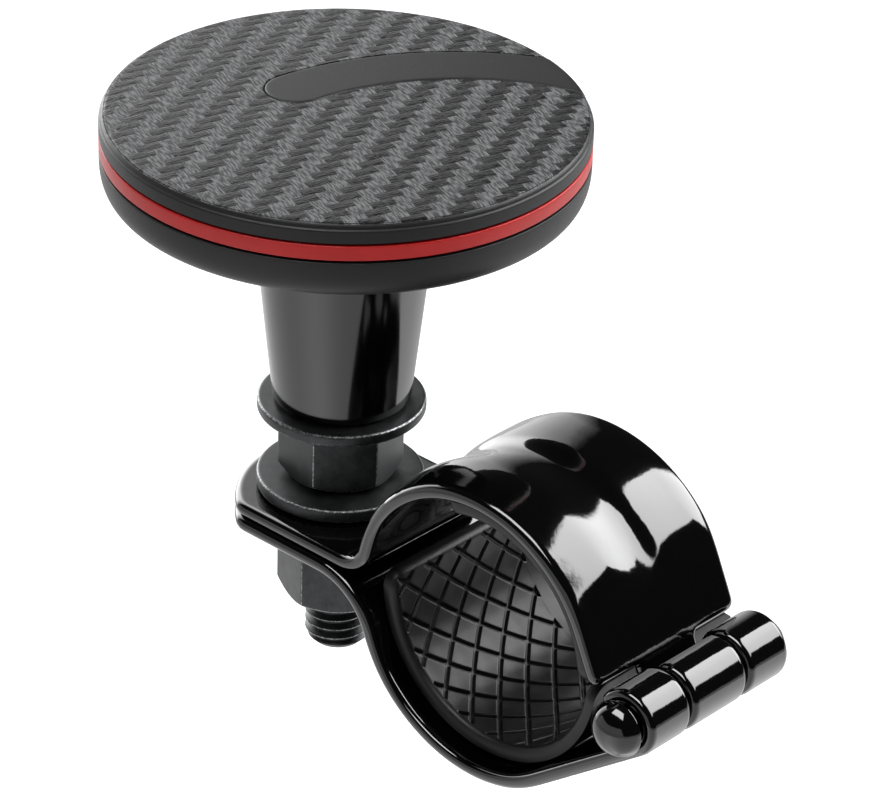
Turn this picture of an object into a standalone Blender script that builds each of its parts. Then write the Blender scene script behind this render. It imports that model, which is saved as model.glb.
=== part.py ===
"""Steering wheel spinner knob with a hinged rim clamp.

Frame: the origin is the centre of the clamp's bore, on the plane where the two
ears meet. Y runs along the bore, the ears reach towards -X, the hinge lies
towards +X, and the knob stands on its stud along +Z. Metres.
"""

from math import acos, asin, atan2, cos, degrees, pi, radians, sin, sqrt

import bmesh
import bpy
import numpy as np
from mathutils import Matrix, Vector

MM = 0.001

# Clearances
FIT = 0.3 * MM              # gap between pieces that seat on or in each other
RUN = 0.6 * MM              # gap round a piece that turns inside another

# Clamp halves: pressed steel bands
BAND_RADIUS = 18.46 * MM    # outer radius of the round part
BAND_WIDTH = 24.0 * MM      # length along the bore
SHEET = 1.8 * MM            # sheet thickness
EAR_SPLIT = 0.3 * MM        # gap between the two ears
CROWN = 1.1 * MM            # height of the two pressed crowns over the rims
EAR_TIP = 11.8 * MM         # from the stud's axis to the tip of the ears
EAR_END_RADIUS = 14.3 * MM  # radius of the ears' end arc
EAR_CORNER = 3.0 * MM       # radius of the ears' two corners
UPPER_BEND = 3.0 * MM       # outside radius where the upper ear meets the band
LOWER_BEND = 8.0 * MM       # outside radius where the lower ear meets the band

# Stud and its hardware
STUD_X = -32.2 * MM         # the knob's axis
STUD_RADIUS = 4.0 * MM      # M8
STUD_BELOW = 19.5 * MM      # from the split plane down to the stud's end
NUT_FLATS = 13.0 * MM
JAM_NUT_HEIGHT = 8.0 * MM
CLAMP_NUT_HEIGHT = 10.3 * MM
NUT_CHAMFER = 0.9 * MM
WASHER_RADIUS = 10.0 * MM
EAR_WASHER = 1.7 * MM       # thickness
STEM_WASHER = 1.5 * MM      # thickness

# Hinge
HINGE_X = 23.1 * MM
HINGE_Z = -0.45 * MM
PIN_RADIUS = 2.0 * MM
KNUCKLE_HALF = 4.85 * MM    # half the length of the middle knuckle, with its gap
UPPER_CURL_END = 482.0      # degrees round the pin where the middle curl ends
LOWER_CURL_END = 158.0      # degrees round the pin where the outer curls end
PIN_HEAD_RADIUS = 3.4 * MM
PIN_HEAD_GAP = 0.95 * MM     # from the front knuckle's end to the head
PIN_HEAD_HEIGHT = 2.7 * MM
PIN_TAIL_RADIUS = 2.8 * MM
PIN_TAIL_HEIGHT = 1.1 * MM
UPPER_EDGE_Z = 2.4 * MM     # lower edge of the upper half's full width

# Rubber pads
PAD = 1.7 * MM              # thickness
PAD_LENGTH = 24.2 * MM      # along the bore
PAD_UPPER_SHIFT = 1.4 * MM  # how far each pad sits to the rear of the band's middle
PAD_LOWER_SHIFT = 3.0 * MM
PAD_SPLIT = 0.5 * MM        # from the split plane to the ends that meet there
PAD_UPPER_END = 112.0       # degrees
PAD_LOWER_START = 178.0     # degrees
PAD_CORNER = 2.2 * MM
PAD_STEP = 3.0 * MM         # longest facet along a pad's curve

# Knob
KNOB_RADIUS = 28.15 * MM
STEM_TAPER = 0.103          # growth of the stem's radius with height
STEM_FOOT_RADIUS = 8.2 * MM
STEM_TOP = 40.8 * MM        # underside of the knob's base
BASE_HEIGHT = 5.35 * MM     # from the underside to the base's rim
BASE_ROUND = 6.0 * MM       # how far in the base's rounded side reaches
BASE_SQUARENESS = 3.2       # 2 is an ellipse, more is squarer
TRIM_HEIGHT = 1.8 * MM
SIDE_BAND = 1.6 * MM        # the cap's plain band above the trim ring
CAP_EDGE = 0.8 * MM         # radius of the cap's rounded edge
CAP_DOME = 0.5 * MM         # rise of the cap's top from its edge to its centre
WALL = 1.3 * MM             # moulded walls of the knob

# Curved bar let into the cap, in the knob's own plan
BAR_ARC = 34.05 * MM        # radius of the bar's centre line
BAR_CENTRE = (26.5 * MM, -5.4 * MM)
BAR_HALF = 3.95 * MM
BAR_START = 8.0             # degrees along the centre line
BAR_STOP = 66.0
BAR_DEPTH = 0.9 * MM

# Ball bearing in the knob's base
BEARING_RADIUS = 9.5 * MM
BEARING_WIDTH = 5.0 * MM
BALL_RADIUS = 1.5 * MM
BALL_CIRCLE = 6.75 * MM
BALL_COUNT = 8
RACE_LAND = 1.0 * MM        # from the ball circle to each race's land
CAGE_WALL = 0.7 * MM
SPACER_WALL = 1.0 * MM
BUSH_WALL = 1.4 * MM
BUSH_LENGTH = 5.8 * MM
CLIP_THICK = 0.75 * MM
CLIP_WIDTH = 1.9 * MM
CLIP_DEPTH = 0.7 * MM       # depth of the clip's groove in the stud
CLIP_OPENING = 30.0         # degrees from the middle of the clip's gap to its ends
STUD_TIP = 0.5 * MM         # stud above the clip's groove

# Heights that follow from the sizes above
EAR_TOP = EAR_SPLIT / 2 + SHEET
EAR_WASHER_Z = EAR_TOP + FIT
JAM_NUT_Z = EAR_WASHER_Z + EAR_WASHER + FIT
STEM_WASHER_Z = JAM_NUT_Z + JAM_NUT_HEIGHT + FIT
STEM_Z = STEM_WASHER_Z + STEM_WASHER + FIT
BASE_Z = STEM_TOP + FIT
TRIM_Z = BASE_Z + BASE_HEIGHT + FIT
CAP_Z = TRIM_Z + TRIM_HEIGHT + FIT
BASE_WALL_Z = BASE_Z + WALL + 0.3 * BASE_ROUND    # where the base's inner wall stands upright
SEAT_Z = BASE_Z + WALL
RACE_Z = SEAT_Z + FIT
CLIP_Z = RACE_Z + BEARING_WIDTH + FIT
STUD_TOP = CLIP_Z + CLIP_THICK + STUD_TIP
CEILING_Z = STUD_TOP + FIT
CAP_SHOULDER_Z = CAP_Z + SIDE_BAND
CAP_TOP_Z = CAP_SHOULDER_Z + CAP_EDGE
CURL_IN = PIN_RADIUS + FIT
CURL_OUT = CURL_IN + SHEET
SPACER_RADIUS = STUD_RADIUS + FIT + SPACER_WALL

ROUND = 36                  # sides of a round piece
INNER_ROUND = 24            # sides of the pieces inside the knob
PIN_ROUND = 28              # sides of the hinge pin and the nuts' bores
FINE_ROUND = 52             # sides of the knob's wide pieces


def reset_scene():
    for old in list(bpy.data.objects):
        bpy.data.objects.remove(old, do_unlink=True)


def linear(hex_colour):
    """sRGB hex to linear RGBA."""
    values = [int(hex_colour[i:i + 2], 16) / 255 for i in (0, 2, 4)]
    return [v / 12.92 if v <= 0.04045 else ((v + 0.055) / 1.055) ** 2.4 for v in values] + [1.0]


def make_material(name, hex_colour, roughness, metallic):
    material = bpy.data.materials.new(name)
    material.use_nodes = True
    shader = material.node_tree.nodes["Principled BSDF"]
    shader.inputs["Base Color"].default_value = linear(hex_colour)
    shader.inputs["Roughness"].default_value = roughness
    shader.inputs["Metallic"].default_value = metallic
    material.diffuse_color = linear(hex_colour)
    return material


def finish_mesh(name, bm, material, parent=None, location=(0, 0, 0), rotation=(0, 0, 0)):
    """Turn a bmesh into a smooth-shaded object with outward faces."""
    bmesh.ops.remove_doubles(bm, verts=bm.verts, dist=1e-7)
    bmesh.ops.recalc_face_normals(bm, faces=bm.faces)
    if bm.calc_volume(signed=True) < 0:
        bmesh.ops.reverse_faces(bm, faces=bm.faces)
    mesh = bpy.data.meshes.new(name)
    bm.to_mesh(mesh)
    bm.free()
    mesh.shade_smooth()
    mesh.set_sharp_from_angle(angle=radians(32))
    if material:
        mesh.materials.append(material)
    obj = bpy.data.objects.new(name, mesh)
    bpy.context.collection.objects.link(obj)
    obj.parent = parent
    obj.location = location
    obj.rotation_euler = rotation
    return obj


def make_empty(name, location):
    empty = bpy.data.objects.new(name, None)
    bpy.context.collection.objects.link(empty)
    empty.location = location
    return empty


def arc(cx, cz, radius, start, stop, steps):
    """Points on an arc, both ends included; angles in degrees."""
    angles = np.radians(np.linspace(start, stop, steps + 1))
    return [(cx + radius * cos(a), cz + radius * sin(a)) for a in angles]


def turned(name, profile, material, sides=ROUND, **place):
    """A profile of (radius, height) points spun about Z into a closed solid."""
    bm = bmesh.new()
    verts = [bm.verts.new((max(r, 0.0), 0, z)) for r, z in profile]
    on_axis = profile[0][0] <= 0 and profile[-1][0] <= 0
    pairs = list(zip(verts, verts[1:]))
    if not on_axis:
        pairs.append((verts[-1], verts[0]))
    edges = [bm.edges.new(pair) for pair in pairs]
    bmesh.ops.spin(bm, geom=verts + edges, cent=(0, 0, 0), axis=(0, 0, 1),
                   angle=2 * pi, steps=int(sides), use_merge=True, use_duplicate=False)
    return finish_mesh(name, bm, material, **place)


def prism(name, outline, low, high, material=None, **place):
    """A plan outline of (x, y) points raised from one height to another."""
    bm = bmesh.new()
    face = bm.faces.new([bm.verts.new((x, y, low)) for x, y in outline])
    raised = bmesh.ops.extrude_face_region(bm, geom=[face])["geom"]
    up = [v for v in raised if isinstance(v, bmesh.types.BMVert)]
    bmesh.ops.translate(bm, verts=up, vec=(0, 0, high - low))
    return finish_mesh(name, bm, material, **place)


def block(name, low, high):
    """A box cutter between two corners."""
    outline = [(low[0], low[1]), (high[0], low[1]), (high[0], high[1]), (low[0], high[1])]
    return prism(name, outline, low[2], high[2])


def hide_cutter(cutter):
    cutter.hide_render = True
    cutter.display_type = "WIRE"


def boolean(target, cutter, operation="DIFFERENCE"):
    modifier = target.modifiers.new(cutter.name, "BOOLEAN")
    modifier.operation = operation
    modifier.solver = "EXACT"
    modifier.object = cutter
    hide_cutter(cutter)


def crown_height(y):
    """Two rounded crowns across the band with a valley between, none at the rims."""
    u = np.clip(np.abs(y) / (BAND_WIDTH / 2), 0, 1)
    return CROWN * np.sin(pi * u ** 0.9) ** 2


def band_path(parts):
    """Join path parts; each is (points, outward normals, crown share)."""
    points = np.concatenate([np.asarray(p[0]) for p in parts])
    normals = np.concatenate([np.asarray(p[1]) for p in parts])
    shares = np.concatenate([np.asarray(p[2]) for p in parts])
    keep = np.ones(len(points), bool)
    keep[1:] = np.hypot(*(points[1:] - points[:-1]).T) > 1e-6
    return points[keep], normals[keep], shares[keep]


def round_part(cx, cz, radius, start, stop, steps, inward=False, share=None):
    angles = np.radians(np.linspace(start, stop, steps + 1))
    out = np.stack([np.cos(angles), np.sin(angles)], 1)
    points = np.array([cx, cz]) + radius * out
    return points, -out if inward else out, np.zeros(steps + 1) if share is None else share


def band(name, path, thickness, columns, material, width, raise_by=None, **place):
    """A strip whose outer face follows a path in XZ and whose width runs along Y.

    Point (s, y) of the outer face is path(s) + share(s) * crown(y) * normal(s), and
    the inner face lies one thickness further in along the same normal.
    """
    points, normals, shares = path
    ys = np.linspace(-width / 2, width / 2, columns + 1)
    lift = raise_by(ys) if raise_by else np.zeros_like(ys)
    rows = len(points)
    layers = []
    for depth in (0.0, thickness):
        offset = shares[:, None] * lift[None, :] - depth
        xs = points[:, 0, None] + normals[:, 0, None] * offset
        zs = points[:, 1, None] + normals[:, 1, None] * offset
        layers.append(np.stack([xs, np.broadcast_to(ys, xs.shape), zs], 2))
    bm = bmesh.new()
    grid = [[[bm.verts.new(layer[i, j]) for j in range(columns + 1)]
             for i in range(rows)] for layer in layers]
    outer, inner = grid
    for i in range(rows - 1):
        for j in range(columns):
            for g in grid:
                bm.faces.new((g[i][j], g[i + 1][j], g[i + 1][j + 1], g[i][j + 1]))
        for j in (0, columns):
            bm.faces.new((outer[i][j], outer[i + 1][j], inner[i + 1][j], inner[i][j]))
    for i in (0, rows - 1):
        for j in range(columns):
            bm.faces.new((outer[i][j], outer[i][j + 1], inner[i][j + 1], inner[i][j]))
    return finish_mesh(name, bm, material, **place)


def ear_part(z, toward, start_x, stop_x):
    points = np.array([[start_x, z], [stop_x, z]])
    return points, np.tile([0.0, toward], (2, 1)), np.zeros(2)


def fade(count, rise, fall):
    """Crown share along the band: rises over the first part and falls over the last."""
    u = np.linspace(0, 1, count)
    rising = np.clip(u / rise, 0, 1)
    falling = np.clip((1 - u) / fall, 0, 1)
    return rising ** 2 * (3 - 2 * rising) * falling ** 2 * (3 - 2 * falling)


def upper_path():
    """Ear, bend, round part, tangent tongue and the curl round the pin."""
    centre_z = EAR_TOP + UPPER_BEND
    centre_x = -sqrt((BAND_RADIUS + UPPER_BEND) ** 2 - centre_z ** 2)
    meet = degrees(atan2(centre_z, centre_x))
    reach = sqrt(HINGE_X ** 2 + HINGE_Z ** 2)
    leave = degrees(acos((BAND_RADIUS + CURL_IN) / reach) + atan2(HINGE_Z, HINGE_X))
    ear = ear_part(EAR_TOP, 1.0, STUD_X - EAR_TIP - 1.0 * MM, centre_x)
    bend = round_part(centre_x, centre_z, UPPER_BEND, -90, meet - 180, 6, inward=True)
    steps = 26
    shell = round_part(0, 0, BAND_RADIUS, meet, leave, steps, share=fade(steps + 1, 0.16, 0.14))
    curl = round_part(HINGE_X, HINGE_Z, CURL_IN, leave + 180, UPPER_CURL_END, 18, inward=True)
    return band_path([ear, bend, shell, curl])


def lower_path():
    """Ear, bend, round part, tangent straps and the curls round the pin."""
    centre_z = -EAR_TOP - LOWER_BEND
    centre_x = -sqrt((BAND_RADIUS + LOWER_BEND) ** 2 - centre_z ** 2)
    meet = degrees(atan2(centre_z, centre_x)) + 360
    reach = sqrt(HINGE_X ** 2 + HINGE_Z ** 2)
    leave = degrees(atan2(HINGE_Z, HINGE_X) - acos((BAND_RADIUS - CURL_OUT) / reach))
    ear = ear_part(-EAR_TOP, -1.0, STUD_X - EAR_TIP - 1.0 * MM, centre_x)
    bend = round_part(centre_x, centre_z, LOWER_BEND, 90, meet - 180, 6, inward=True)
    steps = 22
    shell = round_part(0, 0, BAND_RADIUS, meet, leave + 360, steps, share=fade(steps + 1, 0.2, 0.2))
    curl = round_part(HINGE_X, HINGE_Z, CURL_OUT, leave, LOWER_CURL_END, 12)
    return band_path([ear, bend, shell, curl])


def ear_outline(far_x):
    """Plan outline of a clamp half: rounded ear end, straight sides, square hinge end."""
    half = BAND_WIDTH / 2
    arc_x = STUD_X - EAR_TIP + EAR_END_RADIUS
    corner_y = half - EAR_CORNER
    corner_x = arc_x - sqrt((EAR_END_RADIUS - EAR_CORNER) ** 2 - corner_y ** 2)
    turn = degrees(atan2(corner_y, arc_x - corner_x))
    outline = [(far_x, -half)]
    outline += arc(corner_x, -corner_y, EAR_CORNER, 270, 180 + turn, 4)
    outline += arc(arc_x, 0, EAR_END_RADIUS, 180 + turn, 180 - turn, 15)[1:-1]
    outline += arc(corner_x, corner_y, EAR_CORNER, 180 - turn, 90, 4)
    outline.append((far_x, half))
    return outline


def slot_outline(near_x, far_x, radius):
    """A hole with round ends between two X positions."""
    return arc(near_x - radius, 0, radius, -90, 90, 11) + arc(far_x + radius, 0, radius, 90, 270, 11)


def swing_slot_end():
    """How far the lower ear's hole must reach so that it swings past the stud's end."""
    low = STUD_BELOW - abs(HINGE_Z)
    stud_far = HINGE_X - STUD_X + STUD_RADIUS + FIT
    angle = asin((low + EAR_SPLIT / 2) / stud_far)
    return HINGE_X - (stud_far + (EAR_TOP + HINGE_Z) * sin(angle)) / cos(angle) - FIT


def build_clamp(paint, jaw):
    half = BAND_WIDTH / 2
    far_x = HINGE_X + CURL_OUT + 1 * MM
    tall = BAND_RADIUS + 5 * MM
    wide = half + 0.5 * MM
    columns = 14
    bore = STUD_RADIUS + FIT

    upper = band("clamp_upper", upper_path(), SHEET, columns, paint, 2 * wide, crown_height)
    boolean(upper, prism("upper_outline", ear_outline(far_x), -tall, tall), "INTERSECT")
    curl_x = HINGE_X - CURL_OUT + RUN
    for side, name in ((-1, "front"), (1, "rear")):
        ys = sorted((side * (KNUCKLE_HALF - FIT / 2), side * (wide + 1 * MM)))
        for low_x, high_z, part in ((BAND_RADIUS / 2, UPPER_EDGE_Z, "notch"), (curl_x, tall, "curl")):
            high = (far_x + 1 * MM, ys[1], high_z)
            boolean(upper, block(f"upper_{part}_{name}", (low_x, ys[0], -tall), high))
    hole = arc(STUD_X, 0, bore, 5, 355, 35)
    boolean(upper, prism("upper_ear_hole", hole, 0, EAR_TOP + 1 * MM))

    lower = band("clamp_lower", lower_path(), SHEET, columns, paint, 2 * wide, crown_height)
    boolean(lower, prism("lower_outline", ear_outline(far_x), -tall, tall), "INTERSECT")
    notch = KNUCKLE_HALF + FIT / 2
    low = (HINGE_X - CURL_OUT - RUN, -notch, -tall)
    boolean(lower, block("lower_notch", low, (far_x + 1 * MM, notch, tall)))
    slot = slot_outline(STUD_X + bore, swing_slot_end(), bore)
    boolean(lower, prism("lower_ear_slot", slot, -EAR_TOP - 1 * MM, 0))

    for piece in (lower, *[m.object for m in lower.modifiers]):
        piece.parent = jaw
        piece.location = -jaw.location
    return upper, lower


def pad_mesh(name, start, stop, shift, material, **place):
    """A rubber lining whose corners are rounded in its unrolled plan."""
    outer = BAND_RADIUS - SHEET - FIT
    half = PAD_LENGTH / 2
    sweep = radians(stop - start)
    length = outer * sweep
    corner = np.linspace(0, 90, 5)
    ends = PAD_CORNER * (1 - np.cos(np.radians(corner)))
    middle = np.linspace(PAD_CORNER, length - PAD_CORNER, max(4, int(length / PAD_STEP)))
    along = np.concatenate([ends[:-1], middle, length - ends[-2::-1]])
    inset = np.zeros_like(along)
    round_in = PAD_CORNER * (1 - np.sin(np.radians(corner)))
    inset[:len(corner)] = round_in
    inset[-len(corner):] = round_in[::-1]
    angles = radians(start) + along / outer
    bm = bmesh.new()
    rows = []
    for angle, cut in zip(angles, inset):
        row = []
        for radius in (outer, outer - PAD):
            for y in (shift - half + cut, shift + half - cut):
                row.append(bm.verts.new((radius * cos(angle), y, radius * sin(angle))))
        rows.append(row)
    for a, b in zip(rows, rows[1:]):
        bm.faces.new((a[0], b[0], b[1], a[1]))
        bm.faces.new((a[2], a[3], b[3], b[2]))
        bm.faces.new((a[0], a[2], b[2], b[0]))
        bm.faces.new((a[1], b[1], b[3], a[3]))
    for row in (rows[0], rows[-1]):
        bm.faces.new((row[0], row[1], row[3], row[2]))
    return finish_mesh(name, bm, material, **place)


def build_pads(rubber, jaw):
    turn = degrees(PAD_SPLIT / (BAND_RADIUS - SHEET - PAD))
    pad_mesh("pad_upper", turn, PAD_UPPER_END, PAD_UPPER_SHIFT, rubber)
    pad_mesh("pad_lower", PAD_LOWER_START, 360 - turn, PAD_LOWER_SHIFT, rubber,
             parent=jaw, location=-jaw.location)


def build_hinge_pin(paint):
    """One turned rivet along Y: domed head in front, peened tail behind."""
    front = BAND_WIDTH / 2 + PIN_HEAD_GAP
    rear = -BAND_WIDTH / 2 - FIT
    ball = (PIN_HEAD_RADIUS ** 2 + PIN_HEAD_HEIGHT ** 2) / (2 * PIN_HEAD_HEIGHT)
    rim = degrees(asin(min(PIN_HEAD_RADIUS / ball, 1.0)))
    profile = arc(0, front + PIN_HEAD_HEIGHT - ball, ball, 90, 90 - rim, 8)
    profile += [(PIN_RADIUS, front), (PIN_RADIUS, rear), (PIN_TAIL_RADIUS, rear)]
    profile += [(PIN_TAIL_RADIUS, rear - PIN_TAIL_HEIGHT / 2), (PIN_RADIUS, rear - PIN_TAIL_HEIGHT)]
    profile += [(0, rear - PIN_TAIL_HEIGHT)]
    turned("hinge_pin", profile, paint, PIN_ROUND, location=(HINGE_X, 0, HINGE_Z), rotation=(pi / 2, 0, 0))


def hex_nut(name, height, low_z, first_corner, material, parent=None, both_ends=False):
    """A hexagonal prism turned down to a cone at its end faces, bored for the stud."""
    corner = NUT_FLATS / 2 / cos(pi / 6)
    outline = [(corner * cos(radians(first_corner + 60 * k)),
                corner * sin(radians(first_corner + 60 * k))) for k in range(6)]
    origin = parent.location if parent else Vector((0, 0, 0))
    place = Vector((STUD_X, 0, low_z)) - origin
    nut = prism(name, outline, 0, height, material, parent=parent, location=place)
    over = corner + 1 * MM
    flat = NUT_FLATS / 2 - 0.3 * MM
    top = height if both_ends else height + NUT_CHAMFER
    cone = [(0, 0), (flat, 0), (corner, NUT_CHAMFER), (over, NUT_CHAMFER + 0.6 * MM),
            (over, top - NUT_CHAMFER - 0.6 * MM), (corner, top - NUT_CHAMFER), (flat, top), (0, top)]
    turning = turned(name + "_turning", cone[::-1], None, parent=parent, location=place)
    boolean(nut, turning, "INTERSECT")
    bore = STUD_RADIUS + FIT
    drill = [(0, -1 * MM), (bore, -1 * MM), (bore, height + 1 * MM), (0, height + 1 * MM)]
    boolean(nut, turned(name + "_bore", drill[::-1], None, PIN_ROUND, parent=parent, location=place))


def washer(name, thickness, low_z, material):
    bore = STUD_RADIUS + FIT
    edge = 0.25 * MM
    profile = [(bore, 0), (bore, thickness), (WASHER_RADIUS - edge, thickness),
               (WASHER_RADIUS, thickness - edge), (WASHER_RADIUS, edge), (WASHER_RADIUS - edge, 0)]
    return turned(name, profile, material, location=(STUD_X, 0, low_z))


def build_hardware(steel, black_steel, nut_carrier):
    groove = STUD_RADIUS - CLIP_DEPTH
    end = 1.0 * MM
    profile = [(0, -STUD_BELOW), (STUD_RADIUS - end, -STUD_BELOW), (STUD_RADIUS, -STUD_BELOW + end),
               (STUD_RADIUS, CLIP_Z - FIT / 2), (groove, CLIP_Z - FIT / 2),
               (groove, CLIP_Z + CLIP_THICK + FIT / 2), (STUD_RADIUS, CLIP_Z + CLIP_THICK + FIT / 2),
               (STUD_RADIUS, STUD_TOP - 0.2 * MM), (STUD_RADIUS - 0.2 * MM, STUD_TOP), (0, STUD_TOP)]
    turned("axle_stud", profile, steel, INNER_ROUND, location=(STUD_X, 0, 0))
    washer("ear_washer", EAR_WASHER, EAR_WASHER_Z, black_steel)
    washer("stem_washer", STEM_WASHER, STEM_WASHER_Z, black_steel)
    hex_nut("jam_nut", JAM_NUT_HEIGHT, JAM_NUT_Z, 48.2, black_steel, both_ends=True)
    hex_nut("clamp_nut", CLAMP_NUT_HEIGHT, -EAR_TOP - FIT - CLAMP_NUT_HEIGHT, 37.6, black_steel,
            parent=nut_carrier)


def build_bearing(steel, brass, knob, cage_carrier):
    """Deep-groove ball bearing, its spacer tube and clip, and the stem's plain bush."""
    middle = BEARING_WIDTH / 2
    track = BALL_RADIUS + FIT
    half_angle = degrees(acos(RACE_LAND / track))
    inner_land = BALL_CIRCLE - RACE_LAND
    outer_land = BALL_CIRCLE + RACE_LAND
    bore = STUD_RADIUS + FIT
    at_stud = (STUD_X, 0, RACE_Z)
    in_knob = Vector(at_stud) - knob.location

    inner = [(bore, 0), (bore, BEARING_WIDTH), (inner_land, BEARING_WIDTH)]
    inner += arc(BALL_CIRCLE, middle, track, 180 - half_angle, 180 + half_angle, 4)
    inner += [(inner_land, 0)]
    turned("bearing_inner_race", inner, steel, INNER_ROUND, location=at_stud)
    outer = [(BEARING_RADIUS, BEARING_WIDTH), (BEARING_RADIUS, 0), (outer_land, 0)]
    outer += arc(BALL_CIRCLE, middle, track, -half_angle, half_angle, 4)
    outer += [(outer_land, BEARING_WIDTH)]
    turned("bearing_outer_race", outer, steel, INNER_ROUND, parent=knob, location=in_knob)

    in_cage = Vector(at_stud) - cage_carrier.location
    for k in range(BALL_COUNT):
        angle = 2 * pi * k / BALL_COUNT
        bm = bmesh.new()
        bmesh.ops.create_icosphere(bm, subdivisions=2, radius=BALL_RADIUS)
        spot = Vector((BALL_CIRCLE * cos(angle), BALL_CIRCLE * sin(angle), middle))
        finish_mesh(f"bearing_ball_{k + 1}", bm, steel, parent=cage_carrier, location=in_cage + spot)

    web = middle - BALL_RADIUS - FIT - CAGE_WALL
    crown = middle + BALL_RADIUS * 0.6
    ring = [(BALL_CIRCLE - CAGE_WALL / 2, web), (BALL_CIRCLE - CAGE_WALL / 2, crown),
            (BALL_CIRCLE + CAGE_WALL / 2, crown), (BALL_CIRCLE + CAGE_WALL / 2, web)]
    cage = turned("bearing_cage", ring, brass, INNER_ROUND, parent=cage_carrier, location=in_cage)
    bm = bmesh.new()
    for k in range(BALL_COUNT):
        angle = 2 * pi * k / BALL_COUNT
        turn = Matrix.Rotation(angle, 4, "Z") @ Matrix.Rotation(pi / 2, 4, "Y")
        spot = Matrix.Translation((BALL_CIRCLE * cos(angle), BALL_CIRCLE * sin(angle), middle))
        bmesh.ops.create_cone(bm, cap_ends=True, segments=12, radius1=BALL_RADIUS + FIT,
                              radius2=BALL_RADIUS + FIT, depth=4 * CAGE_WALL, matrix=spot @ turn)
    boolean(cage, finish_mesh("cage_pockets", bm, None, parent=cage_carrier, location=in_cage))

    length = RACE_Z - FIT - STEM_Z
    spacer = [(bore, 0), (bore, length), (SPACER_RADIUS, length), (SPACER_RADIUS, 0)]
    turned("bearing_spacer", spacer, steel, INNER_ROUND, location=(STUD_X, 0, STEM_Z))
    clip_in = STUD_RADIUS - CLIP_DEPTH + FIT
    outline = arc(0, 0, clip_in, CLIP_OPENING, -CLIP_OPENING + 360, 18)
    outline += arc(0, 0, clip_in + CLIP_WIDTH, -CLIP_OPENING + 360, CLIP_OPENING, 18)
    prism("retaining_clip", outline, 0, CLIP_THICK, steel, location=(STUD_X, 0, CLIP_Z))
    bush_in = SPACER_RADIUS + FIT
    bush_out = bush_in + BUSH_WALL
    bush = [(bush_in, 0), (bush_in, BUSH_LENGTH), (bush_out, BUSH_LENGTH), (bush_out, 0)]
    turned("stem_bush", bush, brass, INNER_ROUND, parent=knob,
           location=Vector((STUD_X, 0, STEM_Z + FIT)) - knob.location)


def on_knob(height, knob):
    """Where a piece centred on the stud at this height lies in the turning knob's frame."""
    return Vector((STUD_X, 0, height)) - knob.location


def build_stem(gloss, knob):
    """Tapered sleeve with a counterbore for its bush and a spigot in the base."""
    foot = 0.7 * MM
    tall = STEM_TOP - STEM_Z
    bush_seat = SPACER_RADIUS + FIT + BUSH_WALL + FIT
    clear = SPACER_RADIUS + RUN
    spigot = clear + WALL
    heights = (tall, tall / 2, foot)
    profile = [(spigot, tall + WALL), (spigot, tall)]
    profile += [(STEM_FOOT_RADIUS + STEM_TAPER * z, z) for z in heights]
    profile += arc(STEM_FOOT_RADIUS - foot, foot, foot, -18, -90, 3)
    profile += [(bush_seat, 0), (bush_seat, BUSH_LENGTH + 2 * FIT), (clear, BUSH_LENGTH + 2 * FIT)]
    profile += [(clear, tall + WALL)]
    turned("stem_sleeve", profile, gloss, parent=knob, location=on_knob(STEM_Z, knob))


def base_side(steps):
    """The base's outside from its rim to its flat underside: a quarter of a squared ellipse."""
    power = 2 / BASE_SQUARENESS
    turns = np.linspace(0, pi / 2, steps + 1)
    inner = KNOB_RADIUS - BASE_ROUND
    return [(inner + BASE_ROUND * cos(t) ** power, BASE_HEIGHT * (1 - sin(t) ** power))
            for t in turns]


def build_base(plastic, knob):
    """Lower shell: rounded cup with a floor, a bearing seat and a rim for the trim ring."""
    hole = SPACER_RADIUS + RUN + WALL + FIT
    seat = BEARING_RADIUS + FIT
    top = BASE_HEIGHT
    skirt = KNOB_RADIUS - WALL - FIT
    seat_top = WALL + BEARING_WIDTH
    profile = [(hole, 0), (hole, WALL), (seat, WALL), (seat, seat_top), (seat + WALL, seat_top)]
    profile += [(seat + WALL, WALL), (skirt - BASE_ROUND / 2, WALL)]
    profile += [(skirt, BASE_WALL_Z - BASE_Z), (skirt, top)]
    profile += base_side(6)
    turned("knob_base", profile, plastic, FINE_ROUND, parent=knob, location=on_knob(BASE_Z, knob))


def build_trim(red, knob):
    inner = KNOB_RADIUS - WALL
    edge = 0.12 * MM
    profile = [(inner, 0), (inner, TRIM_HEIGHT), (KNOB_RADIUS - edge, TRIM_HEIGHT),
               (KNOB_RADIUS, TRIM_HEIGHT - edge), (KNOB_RADIUS, edge), (KNOB_RADIUS - edge, 0)]
    turned("trim_ring", profile, red, FINE_ROUND, parent=knob, location=on_knob(TRIM_Z, knob))


def cap_top_profile(inset=0.0):
    """The cap's outside from its centre to the foot of its side band, or a copy inside it."""
    rim = KNOB_RADIUS - inset
    top = CAP_TOP_Z - CAP_Z - inset
    rounding = max(CAP_EDGE - inset, 0.1 * MM)
    edge_x = rim - rounding - 0.2 * MM
    radii = np.linspace(0, edge_x, 5)[:-1]
    dome = [(r, top + CAP_DOME * (1 - (r / edge_x) ** 2)) for r in radii]
    return dome + arc(edge_x, top - rounding, rounding, 88, 4, 4) + [(rim, 0.0)]


def bar_outline(half):
    """Plan of the curved bar: one rounded end, the other running out past the rim."""
    cx, cy = BAR_CENTRE
    start, stop = 180 - BAR_START, 180 - BAR_STOP
    tip = arc(cx, cy, BAR_ARC, start, start, 1)[0]
    outline = arc(*tip, half, start - 180, start - 360, 10)
    outline += arc(cx, cy, BAR_ARC + half, start, stop, 15)[1:]
    outline += arc(cx, cy, BAR_ARC - half, stop, start, 15)[:-1]
    return outline


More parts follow.
